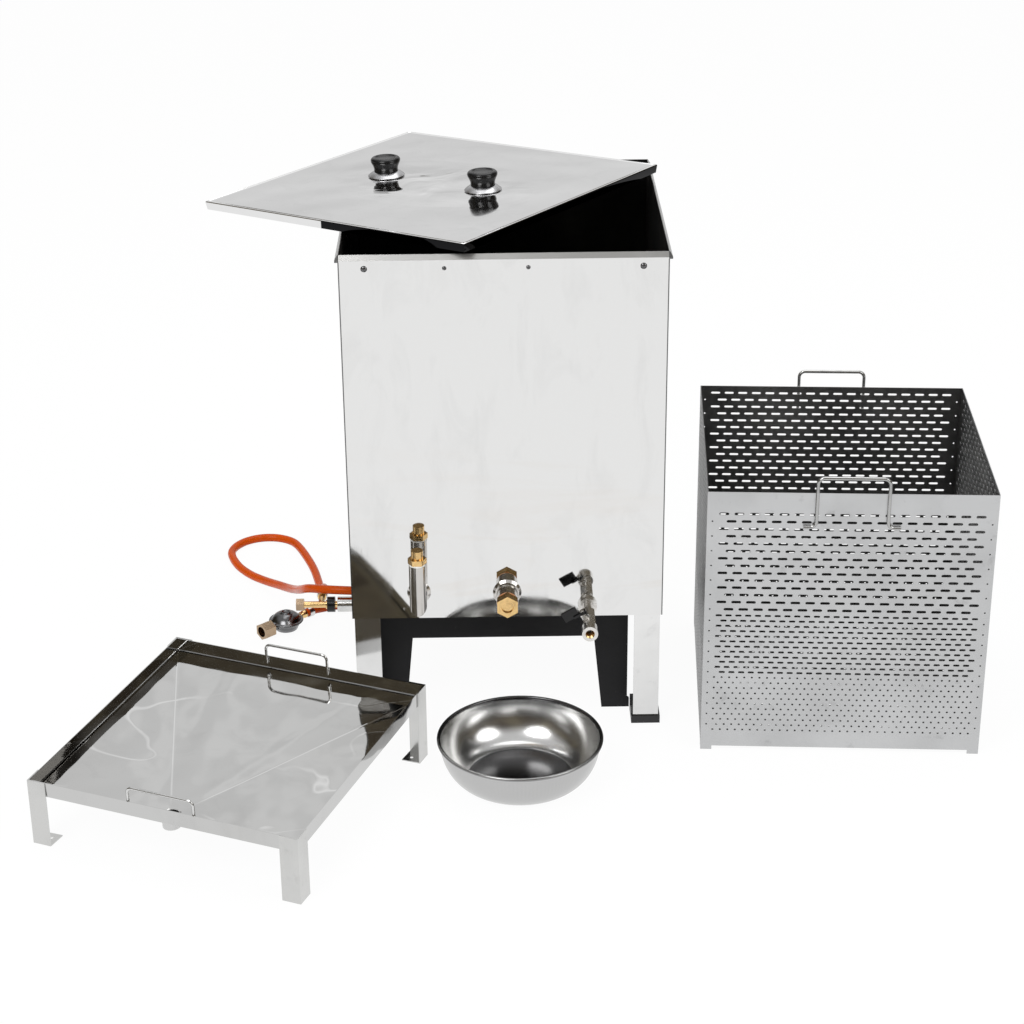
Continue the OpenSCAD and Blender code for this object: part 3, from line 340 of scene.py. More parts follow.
def brightWire(name, tone):
    f = Finish(name)
    drawn = f.noise(160.0, 3.0, 0.6)
    worn = f.noise(30.0, 4.0).above(0.5, 0.75)
    return f.surface(Base_Color=f.blend(worn * 0.6, tone, grey(0.24)), Metallic=1.0,
                     Roughness=0.15 + 0.14 * worn, Normal=f.bump(drawn, 0.08, 0.0003))


def plated(name, tone, dark, roughness):
    f = Finish(name)
    worn = f.noise(70.0, 4.0, 0.6).above(0.48, 0.72)
    fine = f.noise(600.0, 2.0)
    return f.surface(Base_Color=f.blend(worn * 0.40, tone, dark), Metallic=1.0,
                     Roughness=roughness + 0.08 * worn, Normal=f.bump(fine, 0.05, 0.0002))


def turnedBrass(name):
    f = Finish(name)
    turnedLines = f.noise(40.0, 3.0, 0.6, f.stretched((1.0, 40.0, 40.0)))
    tarnish = f.noise(85.0, 5.0, 0.6).above(0.42, 0.70)
    colour = f.blend(tarnish * 0.45, (0.80, 0.55, 0.25), (0.38, 0.23, 0.10))
    return f.surface(Base_Color=colour, Metallic=1.0, Roughness=0.18 + 0.12 * tarnish,
                     Normal=f.bump(turnedLines, 0.06, 0.0003))


def mouldedPlastic(name, tone, roughness, grain=900.0, gloss=0.5):
    f = Finish(name)
    pores = f.noise(grain, 3.0, 0.6)
    rub = f.noise(45.0, 4.0, 0.6).above(0.52, 0.78)
    pale = tuple(min(1.0, c * 1.8 + 0.012) for c in tone)
    return f.surface(Base_Color=f.blend(rub * 0.35, tone, pale), Roughness=roughness + 0.10 * rub,
                     Normal=f.bump(pores, 0.05, 0.0002), Specular_IOR_Level=gloss)


def stovePaint(name):
    f = Finish(name)
    peel = f.noise(320.0, 3.0, 0.55)
    dust = f.noise(16.0, 5.0, 0.65).above(0.48, 0.76)
    chips = (1.0 - f.cells(120.0).above(0.03, 0.06)) * f.noise(20.0, 2.0).above(0.58, 0.66)
    colour = f.blend(dust * 0.5, (0.006, 0.006, 0.007), grey(0.018))
    colour = f.blend(chips * 0.8, colour, (0.16, 0.15, 0.14))
    return f.surface(Base_Color=colour, Roughness=0.46 + 0.20 * dust, Normal=f.bump(peel, 0.16, 0.0005),
                     Specular_IOR_Level=0.25)


def castMetal(name):
    f = Finish(name)
    sand = f.noise(380.0, 4.0, 0.65)
    rust = f.noise(26.0, 5.0, 0.6).above(0.55, 0.78)
    colour = f.blend(rust * 0.6, (0.055, 0.055, 0.056), (0.16, 0.085, 0.045))
    return f.surface(Base_Color=colour, Metallic=0.75 - 0.5 * rust, Roughness=0.52 + 0.25 * rust,
                     Normal=f.bump(sand, 0.35, 0.0008))


uprightGrain = (240.0, 240.0, 3.0)
finishes = {
    "trayLeg": brushedSheet("brushed tray leg", (0.61, 0.61, 0.60), uprightGrain, 0.16, 0.30),
    "leg": brushedSheet("brushed leg angle", (0.78, 0.78, 0.775), uprightGrain, 0.09, 0.25),
    "pipe": brushedSheet("drawn pipe", (0.62, 0.60, 0.575), uprightGrain, 0.12, 0.30),
    "wire": brightWire("basket wire", (0.44, 0.44, 0.435)),
    "trayWire": brightWire("tray wire", (0.66, 0.66, 0.655)),
    "plating": plated("nickel plating", (0.74, 0.725, 0.70), (0.52, 0.50, 0.47), 0.24),
    "brass": turnedBrass("turned brass"),
    "knob": mouldedPlastic("black knob plastic", (0.006, 0.006, 0.0065), 0.20, 700.0, 0.35),
    "foot": mouldedPlastic("black foot plastic", (0.008, 0.008, 0.009), 0.42),
    "grey": plated("grey satin base", (0.50, 0.50, 0.51), (0.36, 0.36, 0.37), 0.26),
    "sealWhite": mouldedPlastic("white seal", (0.80, 0.79, 0.75), 0.40),
    "sealRed": mouldedPlastic("red fibre seal", (0.38, 0.17, 0.07), 0.62),
    "stove": stovePaint("black stove paint"),
    "cast": castMetal("burner casting"),
    "zinc": plated("bright zinc", (0.66, 0.66, 0.65), grey(0.42), 0.16),
    "regulator": plated("dark regulator plating", (0.14, 0.14, 0.143), (0.075, 0.075, 0.078), 0.20),
    "bronze": plated("bronze nut plating", (0.42, 0.31, 0.21), (0.24, 0.17, 0.11), 0.22),
}


# regulator: pressed body with a screwed dome, its hose tail and its inlet neck
regulator = {
    "turn": 44.0, "reach": 0.040, "end": Vector((-0.3215, 0.340, 0.0)) - setPlace, "axisZ": 0.0145,
    "cup": [(0.0, 0.002), (0.015, 0.002), (0.0175, 0.0032), (0.0212, 0.0108), (0.0230, 0.0152),
            (0.0265, 0.0164)],
    "flange": ((0.0260, 0.0180), 0.0014),
    "dome": [(0.0240, 0.0195), (0.0230, 0.0207), (0.0208, 0.0240), (0.0168, 0.0276), (0.0112, 0.0303)],
    "screw": [(0.0080, 0.0311), (0.0076, 0.0325), (0.0062, 0.0330), (0.0058, 0.0320), (0.0, 0.0320)],
    "tail": [(0.0, 0.0), (0.0045, 0.0), (0.0045, 0.029), (0.0056, 0.030), (0.0056, 0.034), (0.0067, 0.0360),
             (0.0067, 0.040), (0.0, 0.040)],
    "neck": [(0.0, 0.018), (0.0070, 0.018), (0.0070, 0.028), (0.0064, 0.029), (0.0064, 0.0340),
             (0.0, 0.0340)],
}


def makeRegulator():
    a = math.radians(regulator["turn"])
    spot = regulator["end"] - Vector((math.cos(a), math.sin(a), 0.0)) * regulator["reach"]
    place = Matrix.Translation(spot) @ turned(regulator["turn"])
    axis = place @ moved(0, 0, regulator["axisZ"])
    flange = roundCorner(*regulator["flange"], -40, 90, 6)
    outline = regulator["cup"] + flange + regulator["dome"] + regulator["screw"]
    shell = lathe("regulatorShell", outline, 96, place)
    finishPiece(shell, "burner", "regulator_metal", finishes["regulator"], "regulator_body")
    tail = lathe("regulatorTail", regulator["tail"], 48, axis @ turned(90, "Y"))
    finishPiece(tail, "burner", "regulator_metal", finishes["brass"])
    neck = lathe("regulatorNeck", regulator["neck"], 48, axis @ turned(-90, "Y"))
    finishPiece(neck, "burner", "regulator_metal", finishes["regulator"])
    return shell, tail, neck


regulatorPieces = makeRegulator()
print("regulator made")


# hose: the same route as its solid, smoothed
hose = {
    "across": 0.0135,
    "route": [
        (-286, 250, 90), (-286, 268, 90), (-286.5, 296, 82), (-288.5, 326, 62.5), (-291.5, 357, 41.5),
        (-296, 391, 22), (-302, 428, 10.5), (-309, 466, 7.5), (-319, 511, 7.5), (-333, 556, 7.5),
        (-351.3, 602.9, 7.5), (-366.9, 626.1, 7.5), (-391.7, 639.3, 7.5), (-419.8, 639.3, 7.5),
        (-444.6, 626.1, 7.5), (-460.3, 602.9, 7.5), (-463.2, 574.9, 7.5), (-448, 532, 7.5),
        (-424, 496, 8), (-396, 460, 14), (-369, 419, 26), (-347, 376, 41), (-332, 334, 60),
        (-321, 293, 81), (-306, 256, 101), (-276, 230, 111.5), (-234, 224, 112), (-194, 237, 105),
        (-162, 262, 93), (-132, 291, 75), (-104, 326, 54), (-75, 359, 34), (-38, 382, 18),
        (8, 392, 9), (58, 393, 7.5), (85.5, 385.6, 7.5), (105.6, 365.5, 7.5), (113, 338, 7.5),
        (105.6, 310.5, 7.5), (85.5, 290.4, 7.5), (58, 283, 7.5), (16, 283, 7.5), (-27, 286, 7.5),
        (-70, 289, 7.5), (-112, 294, 7.5), (-151, 308, 7.5), (-186, 332, 7.5), (-222.7, 368.4, 7.5),
        (-246.8, 379.3, 7.5), (-273.3, 377.9, 8.5), (-296.1, 364.5, 11), (-310, 351.1, 14.5),
        (-321.5, 340, 14.5)],
    "steps": 5, "orange": (0.60, 0.080, 0.002), "deepOrange": (0.47, 0.054, 0.001),
    "grime": (0.33, 0.06, 0.015),
}


def smoothRoute(points, steps):
    ends = [points[0] * 2 - points[1]] + points + [points[-1] * 2 - points[-2]]
    out = []
    for i in range(1, len(ends) - 2):
        p0, p1, p2, p3 = ends[i - 1:i + 3]
        for k in range(steps):
            t = k / steps
            out.append(0.5 * (2 * p1 + (p2 - p0) * t + (2 * p0 - 5 * p1 + 4 * p2 - p3) * t * t
                              + (3 * p1 - p0 - 3 * p2 + p3) * t ** 3))
    return out + [points[-1]]


def hoseFinish():
    f = Finish("orange rubber")
    grain = f.noise(420.0, 2.0)
    cloud = f.noise(9.0, 3.0)
    grime = f.noise(38.0, 4.0).above(0.56, 0.80)
    colour = f.blend(grime * 0.35, f.blend(cloud, hose["deepOrange"], hose["orange"]), hose["grime"])
    return f.surface(Base_Color=colour, Roughness=0.17 + 0.12 * cloud, Normal=f.bump(grain, 0.04, 0.0004),
                     Specular_IOR_Level=0.12)


def layHose():
    points = smoothRoute([Vector(p) / 1000 - setPlace for p in hose["route"]], hose["steps"])
    curve = bpy.data.curves.new("gasHose", "CURVE")
    curve.dimensions = "3D"
    curve.bevel_depth = hose["across"] / 2
    curve.bevel_resolution = 5
    curve.use_fill_caps = True
    spline = curve.splines.new("POLY")
    spline.points.add(len(points) - 1)
    for spot, p in zip(spline.points, points):
        spot.co = (*p, 1.0)
    spline.use_smooth = True
    piece = addObject("gasHose", curve)
    finishPiece(piece, "burner", "hose_rubber", hoseFinish(), "gas_hose")
    length = sum((b - a).length for a, b in zip(points, points[1:]))
    tuple(points[0])
    print("hose laid, length", round(length, 3))


layHose()


# tank walls: bright outside, painted shade inside, a dull lip painted darker, and dark welds
tank = {
    "at": Vector((0.0, 0.223, 0.0)) - setPlace, "inner": 0.2224, "weld": 0.2214, "lip": (0.7185, 0.7192),
    "bowBelow": 0.32, "bowDepth": 0.11, "handledBelow": 0.50,
}


def tankMarksAndShade(f, colour, rough, normal):
    x, y = (abs(wire) for wire in fromMiddle(f, tank))
    z = f.axis("Z")
    low = (tank["bowBelow"] - z).math("MAXIMUM", 0.0)          # the walls draw in slightly low down
    normal = f.bump(low * low * -tank["bowDepth"], 1.0, 1.0, normal)
    within = (x < tank["inner"]) * (y < tank["inner"])
    # painted shade: the inside faces are painted dark, mottled by a noise
    insideNoise = f.noise(6.0, 5.0, 0.6)
    insideShade = f.blend(insideNoise.above(0.35, 0.70), (0.080, 0.083, 0.085), (0.180, 0.172, 0.158))
    smudge = f.noise(5.0, 4.0, 0.6, f.stretched((0.6, 1.0, 3.0)), 0.8).above(0.55, 0.80)
    handled = smudge * (tank["handledBelow"] - z).above(0.0, 0.25)
    colour = f.blend(handled * 0.5, colour, (0.70, 0.63, 0.56))
    # painted shade: the outer lip is painted darker grey; its extra roughness is a dull finish
    lip = z.above(*tank["lip"]) * (1.0 - within)
    colour = f.blend(within, f.blend(lip, colour, (0.42, 0.42, 0.415)), insideShade)
    weld = (x > tank["weld"]) * (y > tank["weld"])
    colour = f.blend(weld * 0.85, colour, grey(0.05))
    return colour, rough + within * (0.16 + 0.2 * insideNoise) + lip * 0.30 + weld * 0.20, normal


finishes["tankSheet"] = mirrorSheet("polished tank sheet", (0.77, 0.77, 0.765), 0.8, 0.10, hairDepth=0.02,
                                    marks=tankMarksAndShade)
print("tank sheet polished")


# bowl: pressed wall with a rolled rim
bowl = {
    "at": Vector((0.015, -0.145, 0.0)) - setPlace, "high": 0.0635, "foot": 0.067, "mouth": 0.113,
    "sheet": 0.001, "bead": 0.0025, "beadOut": 0.0014, "beadBand": (0.0018, 0.0012), "steps": 28,
    "floorEdge": (0.0730, 0.0755), "rimShade": (-0.085, 0.0),
    "base": [(0.0, 0.0012), (0.030, 0.0012), (0.050, 0.0008), (0.058, 0.0)],
}


def bowlFinish():
    f = Finish("bowl steel")
    x, y = fromMiddle(f, bowl)
    height = f.axis("Z")
    radius = (x * x + y * y) ** 0.5
    rings = f.add("ShaderNodeCombineXYZ", {}, {"X": radius * 60.0, "Y": 0.0, "Z": height * 420.0})
    spun = f.noise(2.0, 3.0, 0.6, rings)
    cloud = f.noise(14.0, 4.0, 0.6)
    t = (height / bowl["high"]).above(0.0, 1.0)
    wall = bowl["foot"] + (bowl["mouth"] - bowl["foot"]) * (1.0 - (1.0 - t) ** 2.0) ** 0.5
    inner = (wall - radius).above(-0.0002, 0.0004)
    bead = height.above(*(bowl["high"] - down for down in bowl["beadBand"]))
    # painted reflection: the bowl's inner floor is painted dark
    floor = inner * (1.0 - radius.above(*bowl["floorEdge"]))
    outer = f.blend(cloud * 0.4, grey(0.44), grey(0.33))
    colour = f.blend(inner, outer, f.blend(floor, (0.62, 0.62, 0.615), (0.10, 0.10, 0.102)))
    # painted shade: the rolled rim is painted dark, darkest behind
    shade = 0.30 + 0.62 * y.above(*bowl["rimShade"])         # the rolled rim is bright in front and dark behind
    colour = f.blend(bead * shade, colour, (0.05, 0.05, 0.052))
    rough = 0.22 + 0.08 * spun - inner * 0.06
    return f.surface(Base_Color=colour, Metallic=1.0, Roughness=rough, Normal=f.bump(spun, 0.025, 0.0003))


def makeBowl():
    high, foot, mouth, sheet = (bowl[k] for k in ("high", "foot", "mouth", "sheet"))
    outer, inner = [], []
    for k in range(bowl["steps"] + 1):
        a = math.radians(90 * k / bowl["steps"])
        outer.append((foot + (mouth - foot) * math.sin(a), high * (1 - math.cos(a))))
        inner.append((outer[-1][0] - sheet * math.sin(a), outer[-1][1] + sheet * math.cos(a)))
    within = [(r, z + sheet) for r, z in reversed(bowl["base"])]
    bead = roundCorner((mouth + bowl["beadOut"], high), bowl["bead"], -125, 205, 20)
    profile = bowl["base"] + outer[:-1] + bead + inner[::-1][1:] + within
    piece = lathe("bowlShell", profile, 128, Matrix.Translation(bowl["at"]))
    finishPiece(piece, "bowl", "bowl_steel", bowlFinish(), "bowl")


makeBowl()
print("bowl made")


# perforated basket: slots above, short slots below them, round holes at the foot
basket = {
    "at": Vector((0.486, 0.1095, 0.0)) - setPlace, "turn": -3.6, "side": 0.397, "low": 0.006, "high": 0.400,
    "sheet": 0.0012, "topBand": 0.027, "backBand": 0.0055, "backSlim": 0.8, "margin": 0.011,
    "zones": [                                   # rows, pitch along, pitch down, hole's length, hole's height
        (14, 0.0206, 0.0113, 0.0138, 0.0042),
        (12, 0.0137, 0.0082, 0.0090, 0.0033),
        (11, 0.0107, 0.0085, 0.0031, 0.0031)],
    "edgeIn": 0.0075, "edgeHole": 0.0026, "floorPitch": 0.0125, "floorHole": 0.0045, "floorBorder": 0.03,
    "grain": (5.0, 5.0, 240.0),
}


# the inner faces of the walls, which get painted shade
def basketInside(f):
    x, y = turnedAxes(f, basket)
    reach = basket["side"] / 2 - basket["sheet"] * 0.6
    return (abs(x) < reach) * (abs(y) < reach)


finishes["basket"] = brushedSheet("brushed basket sheet", (0.57, 0.575, 0.58), basket["grain"], 0.30, 0.45,
                                  basketInside)
# painted shade: the left and right walls get a darker copy of the basket sheet, with more marks
finishes["basketSide"] = brushedSheet("shaded basket side sheet", (0.14, 0.142, 0.144), basket["grain"], 0.34, 0.70,
                                      basketInside)


def slotLoop(cx, cz, length, height):
    r = height / 2
    half = length / 2 - r
    if half < 0.0004:                            # a round hole
        spokes = [math.radians(45 * k + 22.5) for k in range(8)]
        return [(cx + r * math.cos(a), cz + r * math.sin(a)) for a in spokes]
    return roundCorner((cx + half, cz), r, -90, 90, 4) + roundCorner((cx - half, cz), r, 90, 270, 4)


def wallHoles(width, band, slim):
    loops = []
    z = basket["high"] - band
    extra = round((basket["topBand"] - band) / basket["zones"][0][2])
    for zone, (count, pitch, drop, length, height) in enumerate(basket["zones"]):
        columns = int((width - 2 * basket["margin"]) / pitch)
        start = -columns * pitch / 2
        for row in range(count + (0 if zone else extra)):
            z -= drop
            odd = row % 2
            shift = 0.5 if odd else 0.0
            for k in range(columns - odd):
                loops.append(slotLoop(start + pitch * (k + 0.5 + shift), z + drop / 2, length, height * slim))
            for side in (-1, 1) if odd else ():
                edge = side * (width / 2 - basket["edgeIn"])
                loops.append(slotLoop(edge, z + drop / 2, basket["edgeHole"], basket["edgeHole"]))
    return loops


def floorHoles(width):
    pitch, hole = basket["floorPitch"], basket["floorHole"]
    count = int((width - basket["floorBorder"]) / pitch)
    loops = []
    for i in range(count):
        for j in range(count):
            x = (i + 0.5 - count / 2) * pitch + (0.25 if j % 2 else -0.25) * pitch
            loops.append(slotLoop(x, width / 2 + (j + 0.5 - count / 2) * pitch, hole, hole))
    return loops


def perforatedSheet(name, width, height, thick, loops, place):
    corners = [(-width / 2, 0.0), (width / 2, 0.0), (width / 2, height), (-width / 2, height)]
    points = [Vector(p) for p in corners]
    edges = [(0, 1), (1, 2), (2, 3), (3, 0)]
    owner = [-1] * 4                             # the hole that each point belongs to
    for number, loop in enumerate(loops):
        base = len(points)
        points += [Vector(p) for p in loop]
        owner += [number] * len(loop)
        edges += [(base + k, base + (k + 1) % len(loop)) for k in range(len(loop))]
    flat, _, faces, origin, *_ = delaunay_2d_cdt(points, edges, [], 1, 1e-7)
    holeOf = [owner[o[0]] if o else -1 for o in origin]
    sides = [tuple(f) for f in faces if not (holeOf[f[0]] >= 0 and len({holeOf[i] for i in f}) == 1)]
    count = len(flat)
    solid = [(p.x, 0.0, p.y) for p in flat] + [(p.x, thick, p.y) for p in flat]
    skin = sides + [tuple(count + i for i in reversed(face)) for face in sides]
    used = {edge for face in sides for edge in zip(face, face[1:] + face[:1])}
    skin += [(b, a, count + a, count + b) for a, b in sorted(used) if (b, a) not in used]
    return addMesh(name, solid, skin, False, place)


def makeBasket():
    stand = Matrix.Translation(basket["at"]) @ turned(basket["turn"])
    side, thick = basket["side"], basket["sheet"]
    inner = side - 2 * thick
    walls = (("Front", 0, side), ("Back", 180, side), ("Left", -90, inner), ("Right", 90, inner))
    for name, turn, width in walls:
        place = stand @ turned(turn) @ moved(0.0, -side / 2, basket["low"])
        band, slim = (basket["topBand"], 1.0) if name == "Front" else (basket["backBand"], basket["backSlim"])
        holes = wallHoles(width, band, slim)
        piece = perforatedSheet("basketWall" + name, width, basket["high"], thick, holes, place)
        finish = finishes["basketSide" if name in ("Left", "Right") else "basket"]
        finishPiece(piece, "basket", "perforated_steel", finish, "basket_" + name.lower())
    lay = stand @ moved(0.0, -inner / 2, basket["low"] + thick) @ turned(-90, "X")
    piece = perforatedSheet("basketFloorSheet", inner, inner, thick, floorHoles(inner), lay)
    finishPiece(piece, "basket", "perforated_steel", finishes["basket"], "basket_floor")


makeBasket()
print("basket perforated")


# lid: a folded pan with rounded hems and a sheet that is not quite flat
lid = {
    "side": 0.469, "deep": 0.0125, "sheet": 0.0012, "hem": 0.0022, "draw": 0.0015, "cells": 96,
    "at": Vector((-0.098, 0.300, 0.7263)) - setPlace, "turn": -37.0, "lean": 2.75487,
    "left": Vector((-0.223, 0.100568, 0.7263)) - setPlace,         # where it rests on the left wall
    "back": Vector((0.097906, 0.446, 0.7263)) - setPlace,          # where it rests on the back wall
    "knobs": 0.0895, "dent": 0.0012, "flatEdge": 0.006, "edgeFade": 0.05, "flatKnob": 0.028, "knobFade": 0.03,
    "pullAt": 0.05, "pullWide": 0.03, "folds": 3.0, "paintedShadeX": 0.252, "paintedShadeY": 0.262,
}


def lidPlace():
    axis = (lid["back"] - lid["left"]).normalized()
    lean = Matrix.Translation(lid["left"]) @ turned(-lid["lean"], axis)
    return lean @ Matrix.Translation(lid["at"] - lid["left"]) @ turned(lid["turn"])


def lidDent(x, y):
    half = lid["side"] / 2
    fromEdge = min(half - abs(x), half - abs(y))
    fromKnob = min(math.hypot(x - s * lid["knobs"], y) for s in (-1, 1))
    hold = held((fromEdge - lid["flatEdge"]) / lid["edgeFade"])
    hold *= held((fromKnob - lid["flatKnob"]) / lid["knobFade"])
    swell = noise.noise(Vector((x * 7.0, y * 7.0, 1.7)))
    swell += 0.5 * noise.noise(Vector((x * 17.0, y * 17.0, 4.1)))
    around = math.atan2(y, abs(x) - lid["knobs"])
    pull = 0.6 * math.exp(-((fromKnob - lid["pullAt"]) / lid["pullWide"]) ** 2) * math.sin(3 * around)
    return lid["dent"] * hold * (swell + pull) - lid["dent"] * 0.6


def lidFoldsAndShade(f, colour, rough, normal):
    x, y = turnedAxes(f, lid)
    near = 1.0 - ((0.5 * x * x + y * y) ** 0.5).above(0.05, 0.12)
    folds = near * f.noise(13.0, 2.0, 0.5, None, 1.1)
    facing = f.add("ShaderNodeTexCoord", {}, {}, "Normal")
    # painted shade: the flange's steep faces are painted darker grey
    steep = abs(f.add("ShaderNodeSeparateXYZ", {}, {0: facing}, "Z")) < 0.6
    colour = f.blend(steep * 0.5, colour, grey(0.60))
    acrossX, acrossY = (abs(wire) for wire in fromMiddle(f, tank))
    over = (acrossX < lid["paintedShadeX"]) * (acrossY < lid["paintedShadeY"])     # painted shade: the flange is painted black where it hangs over the tank
    colour = f.blend(steep * over, colour, (0.012, 0.012, 0.013))
    return colour, rough, f.bump(folds * lid["folds"], 1.0, 0.001, normal)


def pushedOut(value, inset, reach):
    return max(-reach, min(reach, value if abs(value) < inset - 1e-6 else value * (reach / inset)))


def makeLid():
    half, r, n = lid["side"] / 2, lid["hem"], lid["cells"]
    inset = half - r
    points, faces = sheetGrid(inset, inset, n, lambda x, y: lid["deep"] + min(0.0, lidDent(x, y)))
    border = [i for i in range(n)] + [n + j * (n + 1) for j in range(n)]
    border += [n * (n + 1) + n - i for i in range(n)] + [(n - j) * (n + 1) for j in range(n)]
    hem = roundCorner((inset, lid["deep"] - r), r, 90, 0, 6)
    last = border
    for reach, z in hem[1:] + [(half - lid["draw"], 0.0)]:         # over the edge, then down the flange
        fresh = list(range(len(points), len(points) + len(border)))
        pushed = [[pushedOut(v, inset, reach) for v in points[k][:2]] for k in border]
        points += [(x, y, z) for x, y in pushed]
        faces += bridge(last, fresh)
        last = fresh
    piece = addMesh("lidShell", points, faces, True, lidPlace())
    thicken(piece, lid["sheet"])
    creaseShade(piece, 50)
    finish = mirrorSheet("polished lid sheet", grey(0.93), 0.5, 0.22, marks=lidFoldsAndShade)
    finishPiece(piece, "lid", "polished_steel", finish, "lid_panel")


makeLid()
print("lid folded")


# knobs: turned black heads on grey flared bases
knob = {
    "head": 0.022, "waist": 0.01775, "high": 0.021, "base": 0.027, "baseHigh": 0.007,
    "footRound": 0.001, "topRound": 0.005, "baseRound": 0.0006,
    "flare": [(-0.0002, 0.0035), (0.0006, 0.0070), (0.0019, 0.0100), (0.0032, 0.0127), (0.0040, 0.0148)],
    "dish": [(0.0064, 0.0002), (0.0070, 0.0010), (0.0080, 0.0018), (0.0100, 0.0021)],
    "skirt": [(0.0020, 0.0026), (0.0048, 0.0048)],
    "collar": [(0.0020, 0.0006), (0.0012, 0.0002), (0.0004, 0.0)],
}


def headProfile():
    w, h, r = knob["waist"], knob["high"], knob["head"]
    foot, top = knob["footRound"], knob["topRound"]
    profile = [(0.0, 0.0), (w - foot, 0.0)] + roundCorner((w - foot, foot), foot, -90, 0, 4)
    profile += [(w + out, z) for out, z in knob["flare"]]
    profile += roundCorner((r - top, h - top), top, 10, 90, 10)
    profile += [(r - inward, h - down) for inward, down in knob["dish"]]
    return profile + [(0.0, profile[-1][1])]


def baseProfile():
    w, b, high, edge = knob["waist"], knob["base"], knob["baseHigh"], knob["baseRound"]
    profile = [(0.0, 0.0), (b - edge, 0.0)] + roundCorner((b - edge, edge), edge, -90, 60, 5)
    profile += [(b - inward, z) for inward, z in knob["skirt"]]
    profile += [(w + out, high - down) for out, down in knob["collar"]]
    return profile + [(0.0, high)]


def makeKnobs():
    for k, side in enumerate((-1, 1)):
        place = lidPlace() @ moved(side * lid["knobs"], 0.0, lid["deep"])
        base = lathe("knobBase%d" % k, baseProfile(), 72, place)
        finishPiece(base, "lid", "grey_plastic", finishes["grey"], "knob_bases")
        head = lathe("knobHead%d" % k, headProfile(), 72, place @ moved(0.0, 0.0, knob["baseHigh"]))
        finishPiece(head, "lid", "black_plastic", finishes["knob"], "lid_knobs")


makeKnobs()
print("knobs turned")


# tray: creased floor sheet that falls to the drain, polished walls and the spout's pipe
tray = {
    "at": Vector((-0.381, -0.190, 0.1065)) - setPlace, "turn": -22.7, "slope": 2.4177, "lean": 0.0004535,
    "wide": 0.3999, "long": 0.399348, "deep": 0.0215, "sheet": 0.0012, "fall": 0.006, "cells": 110,
    "drain": 0.0126, "drainIn": 0.024, "drainRing": 0.0205, "spoutBore": 0.01175,
    "wave": 0.0006, "fold": 0.0004, "crease": 0.08, "edgeFade": 0.06, "flatDrain": 0.02, "drainFade": 0.05,
    "foldLines": [(1, 0.35, 0.0, 0.012), (-1, -0.22, -0.03, 0.016)],         # up or down, lean, offset, width
}


def trayPlace():
    stand = Matrix.Translation(tray["at"]) @ turned(tray["turn"])
    return stand @ moved(0.0, -tray["lean"], 0.0) @ turned(tray["slope"], "X")


def trayCreasesAndHighlights(f, colour, rough, normal):
    x, y = turnedAxes(f, tray)
    halfX, halfY = tray["wide"] / 2, tray["long"] / 2
    ahead = y + (halfY - tray["drainIn"])
    flow = f.noise(5.5, 2.0, 0.5, None, 0.7)     # thin curling lines where the sheet has buckled: a bump, with a painted highlight along them
    lines = flow.streak(0.5, 0.002, 0.013) * f.noise(7.7, 1.0).above(0.44, 0.60)
    for side in (-1, 1):                         # the folds from the drain to the back corners
        run = Vector((side * halfX, 2 * halfY - tray["drainIn"])).normalized()
        fold = (x * run.y - ahead * run.x).streak(0.0, 0.0004, 0.0018)
        lines = lines.math("MAXIMUM", fold * ahead.above(0.02, 0.06))
    # painted highlight: the curling lines and the folds are painted lighter; their bump is the relief
    colour = f.blend(lines * 0.45, colour, (0.86, 0.86, 0.855))
    return colour, rough, f.bump(lines * tray["crease"], 1.0, 0.001, normal)


def trayShade(f, colour, rough, normal):         # painted reflection: the left wall's inner face is painted dark near its front end
    x, y = turnedAxes(f, tray)
    skin = tray["wide"] / 2 - tray["sheet"] / 2
    left = (x < 0.004 - skin) * (x > -skin) * (0.0 - y).above(0.04, 0.09) * (y > -skin)
    return f.blend(left * 0.92, colour, (0.04, 0.036, 0.030)), rough, normal


def spoutPipe(name, tone):
    f = Finish(name)
    low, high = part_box("tray_spout")
    x = f.axis("X") - (low[0] + high[0]) / 2
    y = f.axis("Y") - (low[1] + high[1]) / 2
    bore = (x * x + y * y) ** 0.5 < tray["spoutBore"]
    streaks = f.noise(30.0, 4.0, 0.6, f.stretched((1.0, 1.0, 0.2)))
    colour = f.blend(streaks * 0.5, tone, shaded(tone, 0.75))
    # painted shade: the bore is painted near black
    return f.surface(Base_Color=f.blend(bore, colour, (0.020, 0.018, 0.015)), Metallic=1.0,
                     Roughness=0.22 + 0.20 * streaks + 0.15 * bore, Normal=f.bump(streaks, 0.06, 0.0003))


finishes["trayWall"] = mirrorSheet("polished tray wall", (0.56, 0.56, 0.555), 0.7, 0.16, 9.0, 0.10,
                                   marks=trayShade)
finishes["trayFloor"] = mirrorSheet("polished tray floor", (0.55, 0.55, 0.545), 0.7, 0.16, 9.0, 0.10,
                                    marks=trayCreasesAndHighlights)
finishes["spout"] = spoutPipe("spout pipe", (0.66, 0.66, 0.655))


